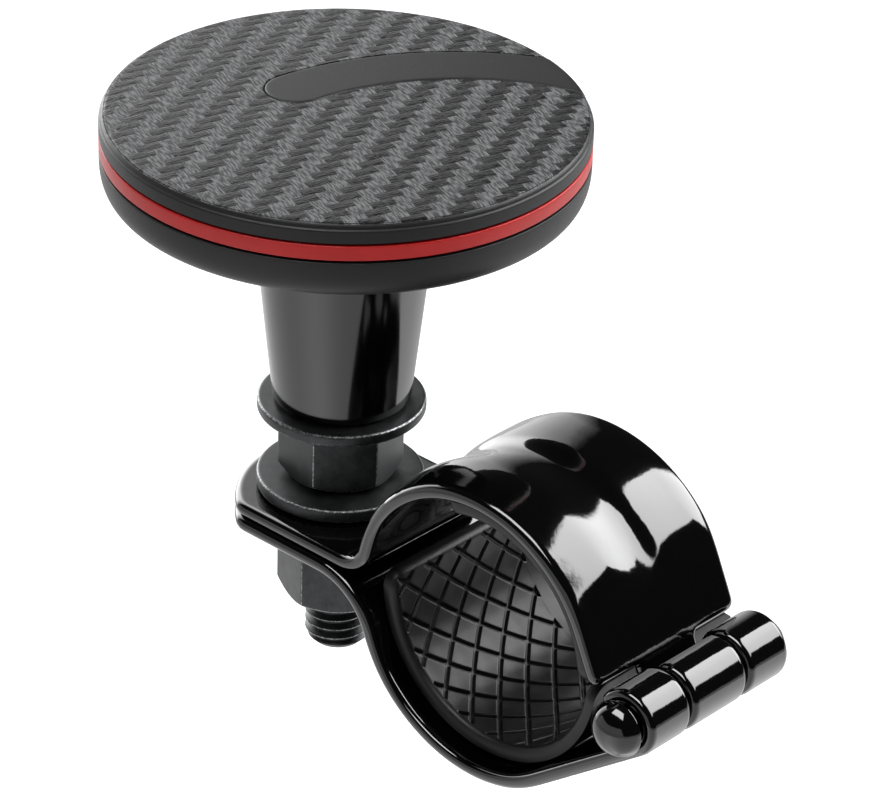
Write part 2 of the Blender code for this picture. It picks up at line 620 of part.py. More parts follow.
def build_cap(plastic, bar_plastic, knob):
    """Cap with a skirt that holds the trim ring, and the curved bar let into its top and rim."""
    place = on_knob(CAP_Z, knob)
    skirt = KNOB_RADIUS - WALL - 2 * FIT
    inside = skirt - WALL
    ceiling = CEILING_Z - CAP_Z
    under = BASE_WALL_Z + FIT - CAP_Z
    fillet = 0.6 * MM
    profile = cap_top_profile() + [(skirt, 0), (skirt, under), (inside, under)]
    profile += [(inside, ceiling - fillet), (inside - fillet, ceiling), (0, ceiling)]
    cap = turned("knob_cap", profile, plastic, FINE_ROUND, parent=knob, location=place)

    high = CAP_TOP_Z - CAP_Z + CAP_DOME + WALL
    foot = SIDE_BAND
    pocket = prism("bar_pocket", bar_outline(BAR_HALF), foot, high, parent=knob, location=place)
    floor = turned("pocket_floor", cap_top_profile(BAR_DEPTH) + [(0, 0)], None, FINE_ROUND,
                   parent=knob, location=place)
    boolean(pocket, floor)
    boolean(cap, pocket)

    bar = prism("cap_inlay", bar_outline(BAR_HALF - FIT), foot + FIT, high, bar_plastic,
                parent=knob, location=place)
    trimming = turned("bar_trimming", cap_top_profile() + [(0, 0)], None, FINE_ROUND,
                      parent=knob, location=place)
    boolean(bar, trimming, "INTERSECT")
    hollow = turned("bar_hollow", cap_top_profile(BAR_DEPTH - FIT) + [(0, 0)], None, FINE_ROUND,
                    parent=knob, location=place)
    boolean(bar, hollow)


def main():
    reset_scene()
    satin = make_material("black moulded plastic", "1c1c1d", 0.5, 0.0)
    textured = make_material("embossed black plastic", "202022", 0.6, 0.0)
    red = make_material("red moulded plastic", "c92a2c", 0.35, 0.0)
    gloss = make_material("gloss black plastic", "121213", 0.15, 0.0)
    paint = make_material("black enamelled steel", "0c0d0e", 0.12, 0.0)
    rubber = make_material("black rubber", "262626", 0.7, 0.0)
    steel = make_material("bright steel", "9a9b9c", 0.3, 1.0)
    black_steel = make_material("blackened steel", "333435", 0.4, 0.8)
    brass = make_material("sintered bronze", "9c7a45", 0.45, 1.0)

    knob = make_empty("knob_axis", (STUD_X, 0, STEM_Z))
    cage_carrier = make_empty("cage_axis", (STUD_X, 0, RACE_Z))
    jaw = make_empty("jaw_axis", (HINGE_X, 0, HINGE_Z))
    nut_carrier = make_empty("nut_axis", (STUD_X, 0, -EAR_TOP))

    build_clamp(paint, jaw)
    build_pads(rubber, jaw)
    build_hinge_pin(paint)
    build_hardware(steel, black_steel, nut_carrier)
    build_bearing(steel, brass, knob, cage_carrier)
    build_stem(gloss, knob)
    build_base(satin, knob)
    build_trim(red, knob)
    build_cap(textured, satin, knob)


main()
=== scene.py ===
"""Looks of the steering wheel spinner knob: smooth pieces and their materials, lights and camera.

Every visible piece is a surface worked out with numpy in millimetres, in the part's own frame: the
origin is the centre of the clamp's bore, Y runs along the bore and the knob stands along +Z.
"""

import bmesh
import bpy
import numpy as np
from mathutils import Matrix, Vector

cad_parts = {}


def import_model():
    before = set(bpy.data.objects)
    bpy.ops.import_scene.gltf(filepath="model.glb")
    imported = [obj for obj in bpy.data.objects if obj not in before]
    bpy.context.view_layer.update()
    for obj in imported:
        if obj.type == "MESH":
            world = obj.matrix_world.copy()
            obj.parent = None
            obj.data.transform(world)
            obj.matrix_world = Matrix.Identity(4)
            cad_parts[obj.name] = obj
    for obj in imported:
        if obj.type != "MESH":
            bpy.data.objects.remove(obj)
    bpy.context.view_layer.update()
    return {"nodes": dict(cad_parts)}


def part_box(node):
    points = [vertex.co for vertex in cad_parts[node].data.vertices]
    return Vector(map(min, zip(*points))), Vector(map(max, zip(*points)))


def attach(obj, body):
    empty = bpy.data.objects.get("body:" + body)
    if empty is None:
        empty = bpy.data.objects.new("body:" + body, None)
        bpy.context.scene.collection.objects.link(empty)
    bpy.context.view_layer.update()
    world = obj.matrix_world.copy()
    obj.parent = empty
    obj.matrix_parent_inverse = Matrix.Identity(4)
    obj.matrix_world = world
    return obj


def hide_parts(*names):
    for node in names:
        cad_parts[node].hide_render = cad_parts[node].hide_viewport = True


# Sizes in millimetres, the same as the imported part's
FIT = 0.3
BAND_RADIUS, BAND_WIDTH, SHEET, SHEET_EDGE = 18.46, 24.0, 1.8, 0.88
EAR_TIP, EAR_END_RADIUS, EAR_CORNER = 11.8, 14.3, 3.0
UPPER_BEND, LOWER_BEND = 3.0, 8.0
EAR_SPLIT = 0.3
EAR_TOP = EAR_SPLIT / 2 + SHEET
STUD_X, STUD_RADIUS, STUD_BELOW, PITCH = -32.2, 4.0, 19.5, 1.25
BORE = STUD_RADIUS + FIT
NUT_FLATS, JAM_NUT_HEIGHT, CLAMP_NUT_HEIGHT, NUT_CHAMFER = 13.0, 8.0, 10.3, 0.9
WASHER_RADIUS, EAR_WASHER, STEM_WASHER = 10.0, 1.7, 1.5
HINGE_X, HINGE_Z = 23.1, -0.45
PIN_RADIUS, CURL_IN = 2.0, 2.3
CURL_OUT = CURL_IN + SHEET
TONGUE_HALF, STRAP_INNER = 4.7, 5.0
UPPER_EDGE_Z, UPPER_CURL_END, LOWER_CURL_END = 2.4, 482.0, 158.0
PIN_HEAD_RADIUS, PIN_HEAD_HEIGHT, PIN_HEAD_GAP = 3.4, 2.7, 0.95
PIN_TAIL_RADIUS, PIN_TAIL_HEIGHT = 2.8, 1.1
PAD, PAD_LENGTH, PAD_CORNER, PAD_SPLIT, PAD_ROUNDING = 1.7, 24.2, 2.2, 0.5, 0.9
PAD_UPPER_END, PAD_LOWER_START = 112.0, 178.0
PAD_UPPER_SHIFT, PAD_LOWER_SHIFT = 1.4, 3.0
LATTICE_ANGLE, LATTICE_WIDTH = 17.7, 4.8
KNOB_RADIUS, WALL = 28.15, 1.3
EAR_WASHER_Z = EAR_TOP + FIT
JAM_NUT_Z = EAR_WASHER_Z + EAR_WASHER + FIT
STEM_WASHER_Z = JAM_NUT_Z + JAM_NUT_HEIGHT + FIT
STEM_FOOT, STEM_TAPER = 8.2, 0.103
STEM_BORE = STUD_RADIUS + FIT + 1.0 + 0.6    # clear of the spacer's wall by a running gap
CAP_EDGE, CAP_DOME, SIDE_BAND = 0.8, 0.5, 1.6
FILM_END, FILM_STEP = 30.0, 0.14
BAR_ARC, BAR_CENTRE, BAR_HALF, BAR_START, BAR_DEPTH = 34.05, (26.5, -5.4), 3.95, 8.0, 0.9

# Section of the crowned band: y, height and slope at its knots, from the front rim to the rear one
CROWN_KNOTS = np.array([(-12, 0.10, 0.2), (-6.2, 1.0, 0.0), (0.4, 0.0, 0.0),
                        (3.3, 0.70, 0.1), (8.5, 0.82, 0.0), (12, 0.2, -0.35)])

# Studio in metres: the point that the lamps face, and the floor's height
LOOKED_AT, TABLE_Z = (-0.01, 0.0, 0.02), -0.15
PHOTO_WIDTH, PHOTO_HEIGHT = 869, 800


# Surfaces

def grid_quads(rows, columns, wrap=False):
    """The four corners of each cell of a grid of points; wrap joins the last row to the first."""
    i, j = np.meshgrid(np.arange(rows if wrap else rows - 1), np.arange(columns - 1), indexing="ij")
    up = (i + 1) % rows
    corners = [i * columns + j, up * columns + j, up * columns + j + 1, i * columns + j + 1]
    return np.stack(corners, -1).reshape(-1, 4)


def linked(name, data):
    """A new object at the origin, in the scene."""
    obj = bpy.data.objects.new(name, data)
    bpy.context.scene.collection.objects.link(obj)
    return obj


def piece(name, points, faces, materials, body, nodes=(), slot=None, edge=None, second=None, crease=40):
    """A mesh from points in mm: doubles merged, faces outward, smooth with sharp creases.

    edge is how much each point lies on an edge, 0 to 1: lighter specks on the steel, a painted highlight on
    the rubber's rounded rim; second marks the faces of the second material.
    """
    mesh = bpy.data.meshes.new(name)
    mesh.from_pydata((np.asarray(points).reshape(-1, 3) * 0.001).tolist(), [], [list(f) for f in faces])
    if edge is not None:
        edge_share = mesh.attributes.new("edge", "FLOAT", "POINT")
        edge_share.data.foreach_set("value", np.asarray(edge, np.float32).ravel())
    for material in materials:
        mesh.materials.append(material)
    if second is not None:
        mesh.polygons.foreach_set("material_index", np.asarray(second, np.int32))
    bm = bmesh.new()
    bm.from_mesh(mesh)
    bmesh.ops.remove_doubles(bm, verts=bm.verts, dist=2e-7)
    bmesh.ops.recalc_face_normals(bm, faces=bm.faces)
    bm.to_mesh(mesh)
    bm.free()
    mesh.shade_smooth()
    mesh.set_sharp_from_angle(angle=np.radians(crease))
    obj = linked(name, mesh)
    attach(obj, body)
    if nodes:
        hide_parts(*nodes)
    return obj


def soften(corners, radii, steps=5):
    """Rounds the corners of a line, or of many lines at once.

    A corner C gives way to (1-t)^2 A + 2t(1-t) C + t^2 B, where A and B lie its radius away along its two
    legs. The second result is 4t(1-t) there and 0 elsewhere: how much a point lies on an edge.
    """
    corners = np.asarray(corners, float)
    radii = np.broadcast_to(radii, corners.shape[-2])
    t = np.linspace(0, 1, steps + 1)[:, None]
    runs, edges = [corners[..., :1, :]], [np.zeros(1)]
    for k in range(1, corners.shape[-2] - 1):
        here = corners[..., k:k + 1, :]
        legs = [corners[..., m:m + 1, :] - here for m in (k - 1, k + 1)]
        ends = []
        for leg in legs:
            length = np.linalg.norm(leg, axis=-1, keepdims=True)
            ends.append(here + leg * np.minimum(radii[k], 0.48 * length) / np.maximum(length, 1e-9))
        if radii[k] > 0:
            runs.append((1 - t) ** 2 * ends[0] + 2 * t * (1 - t) * here + t ** 2 * ends[1])
            edges.append((4 * t * (1 - t))[:, 0])
        else:
            runs.append(here)
            edges.append(np.zeros(1))
    runs.append(corners[..., -1:, :])
    edges.append(np.zeros(1))
    return np.concatenate(runs, axis=-2), np.concatenate(edges)


def evenly(line, count):
    """count points spread evenly by length along a line."""
    line = np.asarray(line, float)
    run = np.concatenate([[0], np.cumsum(np.linalg.norm(np.diff(line, axis=0), axis=1))])
    at = np.linspace(0, run[-1], count)
    return np.stack([np.interp(at, run, line[:, k]) for k in range(line.shape[1])], 1)


def arc(centre, radius, start, stop, steps):
    """Points centre + radius (cos a, sin a) with a from start to stop degrees."""
    turn = np.radians(np.linspace(start, stop, steps + 1))
    return np.asarray(centre) + radius * np.stack([np.cos(turn), np.sin(turn)], 1)


def turned(name, corners, radii, materials, body, sides=192, low=0.0, ring=True, axis="Z",
           second_below=None, **more):
    """A profile of (radius, height) carried round an axis: (r cos a, r sin a, z).

    ring closes the profile on itself; otherwise it starts and ends on the axis. Faces whose middle lies
    under second_below have the second material.
    """
    corners = np.asarray(corners, float)
    if ring:
        middle = (corners[0] + corners[-1]) / 2
        corners = np.vstack([middle, corners, middle])
        radii = np.concatenate([[0], np.broadcast_to(radii, len(corners) - 2), [0]])
    line, edge = soften(corners, radii)
    turn = np.linspace(0, 2 * np.pi, sides + 1)[:-1, None]
    r, z = line[None, :, 0], line[None, :, 1] + low
    points = np.stack([r * np.cos(turn), r * np.sin(turn), np.broadcast_to(z, (sides, len(line)))], -1)
    if axis == "Y":
        points = np.stack([points[..., 0] + HINGE_X, -points[..., 2], points[..., 1] + HINGE_Z], -1)
    else:
        points[..., 0] += STUD_X
    quads = grid_quads(sides, len(line), wrap=True)
    second = None
    if second_below is not None:
        second = points.reshape(-1, 3)[quads][..., 2].mean(1) < second_below
    return piece(name, points, quads, materials, body, edge=np.broadcast_to(edge, (sides, len(line))),
                 second=second, **more)


# Bent sheet: the two clamp halves

def crown_height(y):
    """Height across the band: a front and a rear crown with a narrow valley between them.

    Cubic steps join the knots; the rear crown is the lower and broader one.
    """
    k = np.clip(np.searchsorted(CROWN_KNOTS[:, 0], y, side="right") - 1, 0, len(CROWN_KNOTS) - 2)
    y0, h0, m0 = np.moveaxis(CROWN_KNOTS[k], -1, 0)
    y1, h1, m1 = np.moveaxis(CROWN_KNOTS[k + 1], -1, 0)
    step = y1 - y0
    t = (y - y0) / step
    return ((1 + 2 * t) * (1 - t) ** 2 * h0 + t * (1 - t) ** 2 * step * m0
            + t * t * (3 - 2 * t) * h1 + t * t * (t - 1) * step * m1)


def fade(count, rise, fall):
    """Crown share along the band: rises over the first part and falls over the last."""
    u = np.linspace(0, 1, count)
    smooth = [v * v * (3 - 2 * v) for v in (np.clip(u / rise, 0, 1), np.clip((1 - u) / fall, 0, 1))]
    return smooth[0] * smooth[1]


def round_run(centre, radius, start, stop, inward=False, crown=None):
    """Points radius away from centre; the outward normal is the radius direction, or its opposite."""
    count = int(abs(stop - start) * 2) + 8
    points = arc(centre, radius, start, stop, count - 1)
    out = (points - np.asarray(centre)) / radius
    share = np.zeros(count) if crown is None else fade(count, *crown)
    return np.column_stack([points, -out if inward else out, share])


def sheet_path(side):
    """The clamp half's outer face in XZ from the ear's tip to the end of its curl, by distance along it.

    side is +1 for the upper half, whose curl hugs the pin from inside, and -1 for the lower half, whose
    curls go round outside it. Columns: distance, x, z, normal x, normal z, crown share.
    """
    bend = UPPER_BEND if side > 0 else LOWER_BEND
    centre = np.array([-np.sqrt((BAND_RADIUS + bend) ** 2 - (EAR_TOP + bend) ** 2), side * (EAR_TOP + bend)])
    meet = np.degrees(np.arctan2(centre[1], centre[0])) % 360
    hinge = np.array([HINGE_X, HINGE_Z])
    reach, slope = np.hypot(*hinge), np.arctan2(HINGE_Z, HINGE_X)
    ear = np.array([[STUD_X - EAR_TIP, side * EAR_TOP, 0, side, 0], [centre[0], side * EAR_TOP, 0, side, 0]])
    if side > 0:
        leave = np.degrees(np.arccos((BAND_RADIUS + CURL_IN) / reach) + slope)
        runs = [ear, round_run(centre, bend, -90, meet - 180, inward=True),
                round_run((0, 0), BAND_RADIUS, meet, leave, crown=(0.16, 0.14)),
                round_run(hinge, CURL_IN, leave + 180, UPPER_CURL_END, inward=True)]
    else:
        leave = np.degrees(slope - np.arccos((BAND_RADIUS - CURL_OUT) / reach))
        runs = [ear, round_run(centre, bend, 90, meet - 180, inward=True),
                round_run((0, 0), BAND_RADIUS, meet, leave + 360, crown=(0.2, 0.2)),
                round_run(hinge, CURL_OUT, leave, LOWER_CURL_END)]
    line = np.vstack(runs)
    step = np.concatenate([[0], np.hypot(*np.diff(line[:, :2], axis=0).T)])
    keep = (step > 1e-6) | (np.arange(len(line)) == 0)
    return np.column_stack([np.cumsum(step)[keep], line[keep]])


def on_sheet(path, s, y, depth):
    """path(s) + (share(s) crown(y) - depth) normal(s), with y across the band."""
    x, z, nx, nz, share = (np.interp(s, path[:, 0], path[:, k]) for k in range(1, 6))
    length = np.hypot(nx, nz)
    offset = share * crown_height(y) - depth
    return np.stack([x + nx / length * offset, y, z + nz / length * offset], -1)


def sheet_piece(name, node_name, path, runs, material, body, columns=40):
    """A bent sheet from its unrolled half plan, laid out to the rear and to the front.

    Each run gives part of the outline and the inner line it faces (the middle line or the stud's hole).
    A row goes from the inner line to the outline on the outer face, round the rounded edge, and back on
    the inner face; depth is the distance under the outer face.
    """
    outline, inner, holed = [], [], []
    for corners, radii, facing, count, hole in runs:
        first = 0 if not outline else 1
        outline.append(evenly(soften(corners, radii, 8)[0], count)[first:])
        inner.append(evenly(facing, count)[first:])
        holed.append(np.full(count - first, hole))
    outline, inner, holed = np.vstack(outline), np.vstack(inner), np.concatenate(holed)
    tangent = np.gradient(outline, axis=0)
    out = np.stack([-tangent[:, 1], tangent[:, 0]], 1)
    out /= np.linalg.norm(out, axis=1, keepdims=True)
    out[0], out[-1] = (-1, 0), (1, 0)
    t = np.linspace(0, 1, columns)[None, :, None]
    face = inner[:, None] + t * (outline - SHEET_EDGE * out - inner)[:, None]
    turn = np.radians(np.linspace(0, 90, 6))[1:]
    edge = outline[:, None] - SHEET_EDGE * (1 - np.sin(turn))[None, :, None] * out[:, None]
    drop = SHEET_EDGE * (1 - np.cos(turn))
    plan = np.concatenate([face, edge, edge[:, ::-1], face[:, ::-1]], 1)
    depth = np.concatenate([np.zeros(columns), drop, SHEET - drop[::-1], np.full(columns, SHEET)])
    rear, front = (on_sheet(path, plan[..., 0], side * plan[..., 1], depth[None, :]) for side in (1, -1))
    rows, across = rear.shape[:2]
    quads = grid_quads(rows, across)
    first = np.flatnonzero(holed[:-1] & holed[1:]) * across
    wall = np.stack([first, first + across, first + 2 * across - 1, first + across - 1], 1)
    faces = np.vstack([quads, wall])
    faces = np.vstack([faces, (faces + rows * across)[:, ::-1]])
    return piece(name, np.concatenate([rear.reshape(-1, 3), front.reshape(-1, 3)]), faces, [material], body,
                 [node_name], "black_enamel")


def ear_runs(far_x, side_s):
    """The runs round the ear: its end arc, corner and side, facing the stud's hole or slot."""
    half, side_start = BAND_WIDTH / 2, 20.0
    tip = STUD_X - EAR_TIP
    corner_y = half - EAR_CORNER
    corner_s = EAR_END_RADIUS - np.sqrt((EAR_END_RADIUS - EAR_CORNER) ** 2 - corner_y ** 2)
    turn = np.degrees(np.arctan2(corner_y, EAR_END_RADIUS - corner_s))
    end = np.vstack([arc((EAR_END_RADIUS, 0), EAR_END_RADIUS, 180, 180 - turn, 40),
                     arc((corner_s, corner_y), EAR_CORNER, 180 - turn, 90, 20)[1:], [(side_start, half)]])
    stud, far = STUD_X - tip, far_x - tip + BORE
    hole = np.vstack([arc((far, 0), BORE, 180, 90, 24), arc((stud, 0), BORE, 90, 0, 24)])
    side = [(side_start, half), (side_s, half)]
    return [(end, 0, hole, 96, True),
            (side, 0, [(stud + BORE, 0), (side_s, 0)], int((side_s - side_start) / 0.45), False)]


def upper_half(enamel):
    """The upper clamp half: full width down to its edge, then the tongue that curls round the pin."""
    half = BAND_WIDTH / 2
    path = sheet_path(1)
    end = path[-1, 0]
    shell = path[path[:, 0] > 60]
    falling = shell[:np.argmin(shell[:, 2])]
    edge = np.interp(-UPPER_EDGE_Z, -falling[:, 2], falling[:, 0])
    near = edge - 5
    runs = ear_runs(STUD_X - BORE, near)
    runs += [([(near, half), (edge, half), (edge, TONGUE_HALF), (edge + 2, TONGUE_HALF)], (0, 1.5, 0.8, 0),
              [(near, 0), (edge + 2, 0)], 46, False),
             ([(edge + 2, TONGUE_HALF), (end - 3, TONGUE_HALF)], 0, [(edge + 2, 0), (end - 3, 0)], 60, False),
             ([(end - 3, TONGUE_HALF), (end, TONGUE_HALF), (end, 0)], (0, 0.7, 0),
              [(end - 3, 0), (end - 2, 0)], 26, False)]
    sheet_piece("upper_shell", "clamp_upper", path, runs, enamel, "upper_clamp")


def swing_slot_end():
    """How far the lower ear's slot reaches so that the ear swings past the stud's end."""
    stud_far = HINGE_X - STUD_X + STUD_RADIUS + FIT
    angle = np.arcsin((STUD_BELOW - abs(HINGE_Z) + EAR_SPLIT / 2) / stud_far)
    return HINGE_X - (stud_far + (EAR_TOP + HINGE_Z) * np.sin(angle)) / np.cos(angle) - FIT


def lower_half(enamel):
    """The lower clamp half: two straps run from the band's root and curl round the pin."""
    half = BAND_WIDTH / 2
    path = sheet_path(-1)
    end = path[-1, 0]
    right = path[(path[:, 0] > 60) & (path[:, 1] > 0)]
    outward = right[:np.argmax(right[:, 1])]
    root = np.interp(HINGE_X - CURL_OUT - 0.6, outward[:, 1], outward[:, 0])
    near, far, middle = root - 8, end - 3, 8.5
    runs = ear_runs(swing_slot_end(), near)
    runs += [([(near, half), (root, half)], 0, [(near, 0), (root, middle)], 22, False),
             ([(root, half), (far, half)], 0, [(root, middle), (far, middle)], 64, False),
             ([(far, half), (end, half), (end, STRAP_INNER), (far, STRAP_INNER)], (0, 0.7, 0.7, 0),
              [(far, middle), (far, middle - 1e-4)], 34, False),
             ([(far, STRAP_INNER), (root + 2, STRAP_INNER)], 0, [(far, middle), (root, middle)], 64, False),
             ([(root + 2, STRAP_INNER), (root, STRAP_INNER), (root, 0)], (0, 0.8, 0),
              [(root, middle), (near, 0)], 22, False)]
    sheet_piece("lower_shell", "clamp_lower", path, runs, enamel, "lower_jaw")


# Rubber linings

def groove_depth(angle, y, middle, span):
    """Two crossing families of round-ended grooves with steep walls and a flat floor.

    With u the angle and v the width y in lattice steps, the lines lie where u + v and u - v are whole. Each
    cell between them sinks slightly towards its middle.
    """
    half_width, wall, deep, sink = 0.30, 0.14, 0.45, 0.04
    u, v = (angle - 202.4) / LATTICE_ANGLE, (y - 12.1) / LATTICE_WIDTH
    surface = BAND_RADIUS - SHEET - FIT - PAD
    arc_step = surface * np.radians(LATTICE_ANGLE)
    spacing = 1 / np.hypot(1 / arc_step, 1 / LATTICE_WIDTH)
    past = np.maximum(np.abs(y - middle[1]) - span[1], 0)
    past = past + np.maximum(np.abs(angle - middle[0]) - span[0], 0) * np.radians(surface)
    depth, inside = np.zeros_like(y), np.ones_like(y)
    for lean in (1, -1):
        cross = u + lean * v
        off = (cross - np.round(cross)) * spacing
        near = np.clip((half_width - np.hypot(off, past * 1.414)) / wall, 0, 1)
        depth = np.maximum(depth, deep * near * near * (3 - 2 * near))
        inside = inside * np.sin(np.pi * cross) ** 2
    return depth + sink * inside * (past <= 0)


def pad_piece(name, node_name, start, stop, shift, lattice, material, body):
    """A curved rubber pad: inner radius = outer radius - height, height = thickness - rounding - grooves."""
    outer = BAND_RADIUS - SHEET - FIT
    half = PAD_LENGTH / 2
    length = outer * np.radians(stop - start)
    turn = np.radians(np.linspace(0, 90, 15))
    ends = PAD_CORNER * (1 - np.cos(turn))
    step = outer * np.radians(LATTICE_ANGLE) / 40
    middle = np.arange(PAD_CORNER, length - PAD_CORNER, step)[1:]
    along = np.concatenate([ends, middle, length - ends[::-1]])
    width = np.full(len(along), half)
    width[:15] -= PAD_CORNER * (1 - np.sin(turn))
    width[-15:] -= PAD_CORNER * (1 - np.sin(turn[::-1]))
    across = np.append(np.arange(-half, half - 0.01, 0.12), half) / half
    a = np.broadcast_to(along[:, None], (len(along), len(across)))
    y = width[:, None] * across[None, :]

    away = np.stack([np.abs(a - length / 2) - (length / 2 - PAD_CORNER), np.abs(y) - (half - PAD_CORNER)])
    inside = PAD_CORNER - np.hypot(*np.maximum(away, 0)) - np.minimum(away.max(0), 0)
    left = np.clip(PAD_ROUNDING - inside, 0, PAD_ROUNDING)
    y = y + shift
    degrees = start + np.degrees(a / outer)
    depth = groove_depth(degrees, y, *lattice)
    radius = outer - PAD + PAD_ROUNDING - np.sqrt(PAD_ROUNDING ** 2 - left ** 2) + depth

    angle = np.radians(degrees)
    face = np.stack([radius * np.cos(angle), y, radius * np.sin(angle)], -1)
    rows, columns = a.shape
    back = np.stack([outer * np.cos(angle), y, outer * np.sin(angle)], -1)[:, [0, -1]]
    base = rows * columns
    i = np.arange(rows - 1)
    under = [np.stack([base + 2 * i, base + 2 * i + 2, base + 2 * i + 3, base + 2 * i + 1], 1),
             np.stack([i * columns, base + 2 * i, base + 2 * i + 2, (i + 1) * columns], 1),
             np.stack([(i + 1) * columns - 1, base + 2 * i + 1, base + 2 * i + 3, (i + 2) * columns - 1], 1)]
    caps = [[*range(r * columns, (r + 1) * columns), base + 2 * r + 1, base + 2 * r] for r in (0, rows - 1)]
    faces = np.vstack([grid_quads(rows, columns), *under]).tolist() + caps
    # The rounded rim's share, 0 to 1: the rubber is painted lighter there, a painted highlight
    rim = np.concatenate([(np.clip(1 - inside / PAD_ROUNDING, 0, 1)).ravel(), np.zeros(2 * rows)])
    return piece(name, np.concatenate([face.reshape(-1, 3), back.reshape(-1, 3)]), faces, [material], body,
                 [node_name], "black_rubber", edge=rim, crease=60)


# Stud, nuts and washers

def rotation(angle):
    turn = np.radians(angle)
    return np.array([[np.cos(turn), -np.sin(turn)], [np.sin(turn), np.cos(turn)]])


def hex_nut(name, node_name, height, low, first_corner, body, both_ends, material):
    """A hexagon with rounded corners whose end faces are turned down to a cone.

    The profile changes with the angle: bore, end face, cone up to the hexagon's own radius, side, and back.
    """
    apothem, corner_radius, bore_chamfer = NUT_FLATS / 2, 0.35, 0.5
    inner = (apothem - corner_radius) / np.cos(np.pi / 6)
    corner = arc((inner, 0), corner_radius, -30, 30, 6)
    sector = np.vstack([corner, evenly([corner[-1], rotation(60) @ corner[0]], 18)[1:-1]])
    plan = np.vstack([sector @ rotation(first_corner + 60 * k).T for k in range(6)])
    reach = np.hypot(*plan.T)
    heading = plan / reach[:, None]
    flat = apothem - 0.3
    cone = (reach - flat) * NUT_CHAMFER / (apothem / np.cos(np.pi / 6) - flat)
    top_cone = cone if both_ends else np.full_like(cone, 0.12)
    top_flat = flat if both_ends else reach - 0.12
    ones = np.ones_like(reach)
    radii_heights = [(BORE, height / 2), (BORE, bore_chamfer), (BORE + bore_chamfer, 0), (flat, 0),
                     (reach, cone), (reach, height - top_cone), (top_flat, height),
                     (BORE + bore_chamfer, height), (BORE, height - bore_chamfer), (BORE, height / 2)]
    profile = np.stack([np.stack([r * ones, z * ones], 1) for r, z in radii_heights], 1)
    line, edge = soften(profile, (0, 0.1, 0.1, 0.15, 0.22, 0.22, 0.15, 0.1, 0.1, 0), 4)
    points = np.stack([STUD_X + line[..., 0] * heading[:, None, 0], line[..., 0] * heading[:, None, 1],
                       low + line[..., 1]], -1)
    on_corner = np.tile(np.concatenate([np.sin(np.linspace(0, np.pi, 7)), np.zeros(16)]), 6)
    side = (line[..., 0] > reach[:, None] - 0.05)
    # Each point's share of the lighter edge specks: the rounded profile edges, and the hexagon's corners on
    # its sides
    edge_share = np.maximum(edge[None, :] * (line[..., 0] > BORE + 0.7), on_corner[:, None] * side)
    return piece(name, points, grid_quads(len(plan), line.shape[1], wrap=True), [material], body, [node_name],
                 "blackened_steel", edge=edge_share)


def threaded_stud(material):
    """Radius over (angle, height): a helical groove, r = R - depth(phase), phase = z / pitch - turns.

    The thread runs up to the jam nut; above it the stud is plain, with the clip's groove near its top.
    """
    plain = STEM_WASHER_Z - 1
    z = np.concatenate([np.arange(-STUD_BELOW, plain, PITCH / 18), [plain + 0.05]])
    turn = np.linspace(0, 2 * np.pi, 73)[:-1]
    phase = (z[None, :] / PITCH - turn[:, None] / (2 * np.pi)) % 1
    depth = 0.72 * np.clip(1.18 * (1 - np.abs(2 * phase - 1)) - 0.12, 0, 0.92)
    chamfer = np.clip(1.0 - (z + STUD_BELOW), 0, None)
    r = np.minimum(STUD_RADIUS - 0.02 - depth, STUD_RADIUS - chamfer[None, :])
    r[:, -1] = STUD_RADIUS - 0.8
    clip = heights("retaining_clip")[0] - FIT / 2
    stud_top = heights("axle_stud")[1]
    top = np.array([(STUD_RADIUS, plain + 0.9), (STUD_RADIUS, clip), (STUD_RADIUS - 0.7, clip),
                    (STUD_RADIUS - 0.7, clip + 1.05), (STUD_RADIUS, clip + 1.05),
                    (STUD_RADIUS, stud_top - 0.2), (STUD_RADIUS - 0.2, stud_top), (0, stud_top)])
    sides = len(turn)
    r = np.concatenate([np.zeros((sides, 1)), r, np.broadcast_to(top[:, 0], (sides, len(top)))], 1)
    z = np.concatenate([[-STUD_BELOW], z, top[:, 1]])
    points = np.stack([STUD_X + r * np.cos(turn)[:, None], r * np.sin(turn)[:, None],
                       np.broadcast_to(z, r.shape)], -1)
    crest = np.clip((r - STUD_RADIUS + 0.12) / 0.1, 0, 1) * (z < plain)
    return piece("threaded_stud", points, grid_quads(sides, len(z), wrap=True), [material], "upper_clamp",
                 ["axle_stud"], "bright_steel", edge=crest, crease=50)


def washers(material):
    for name, thick, low in (("ear_washer", EAR_WASHER, EAR_WASHER_Z),
                             ("stem_washer", STEM_WASHER, STEM_WASHER_Z)):
        profile = [(BORE, 0), (BORE, thick), (WASHER_RADIUS, thick), (WASHER_RADIUS, 0)]
        turned(f"{name}_plate", profile, (0.1, 0.1, 0.45, 0.45), [material], "upper_clamp", low=low,
               nodes=[name], slot="blackened_steel")


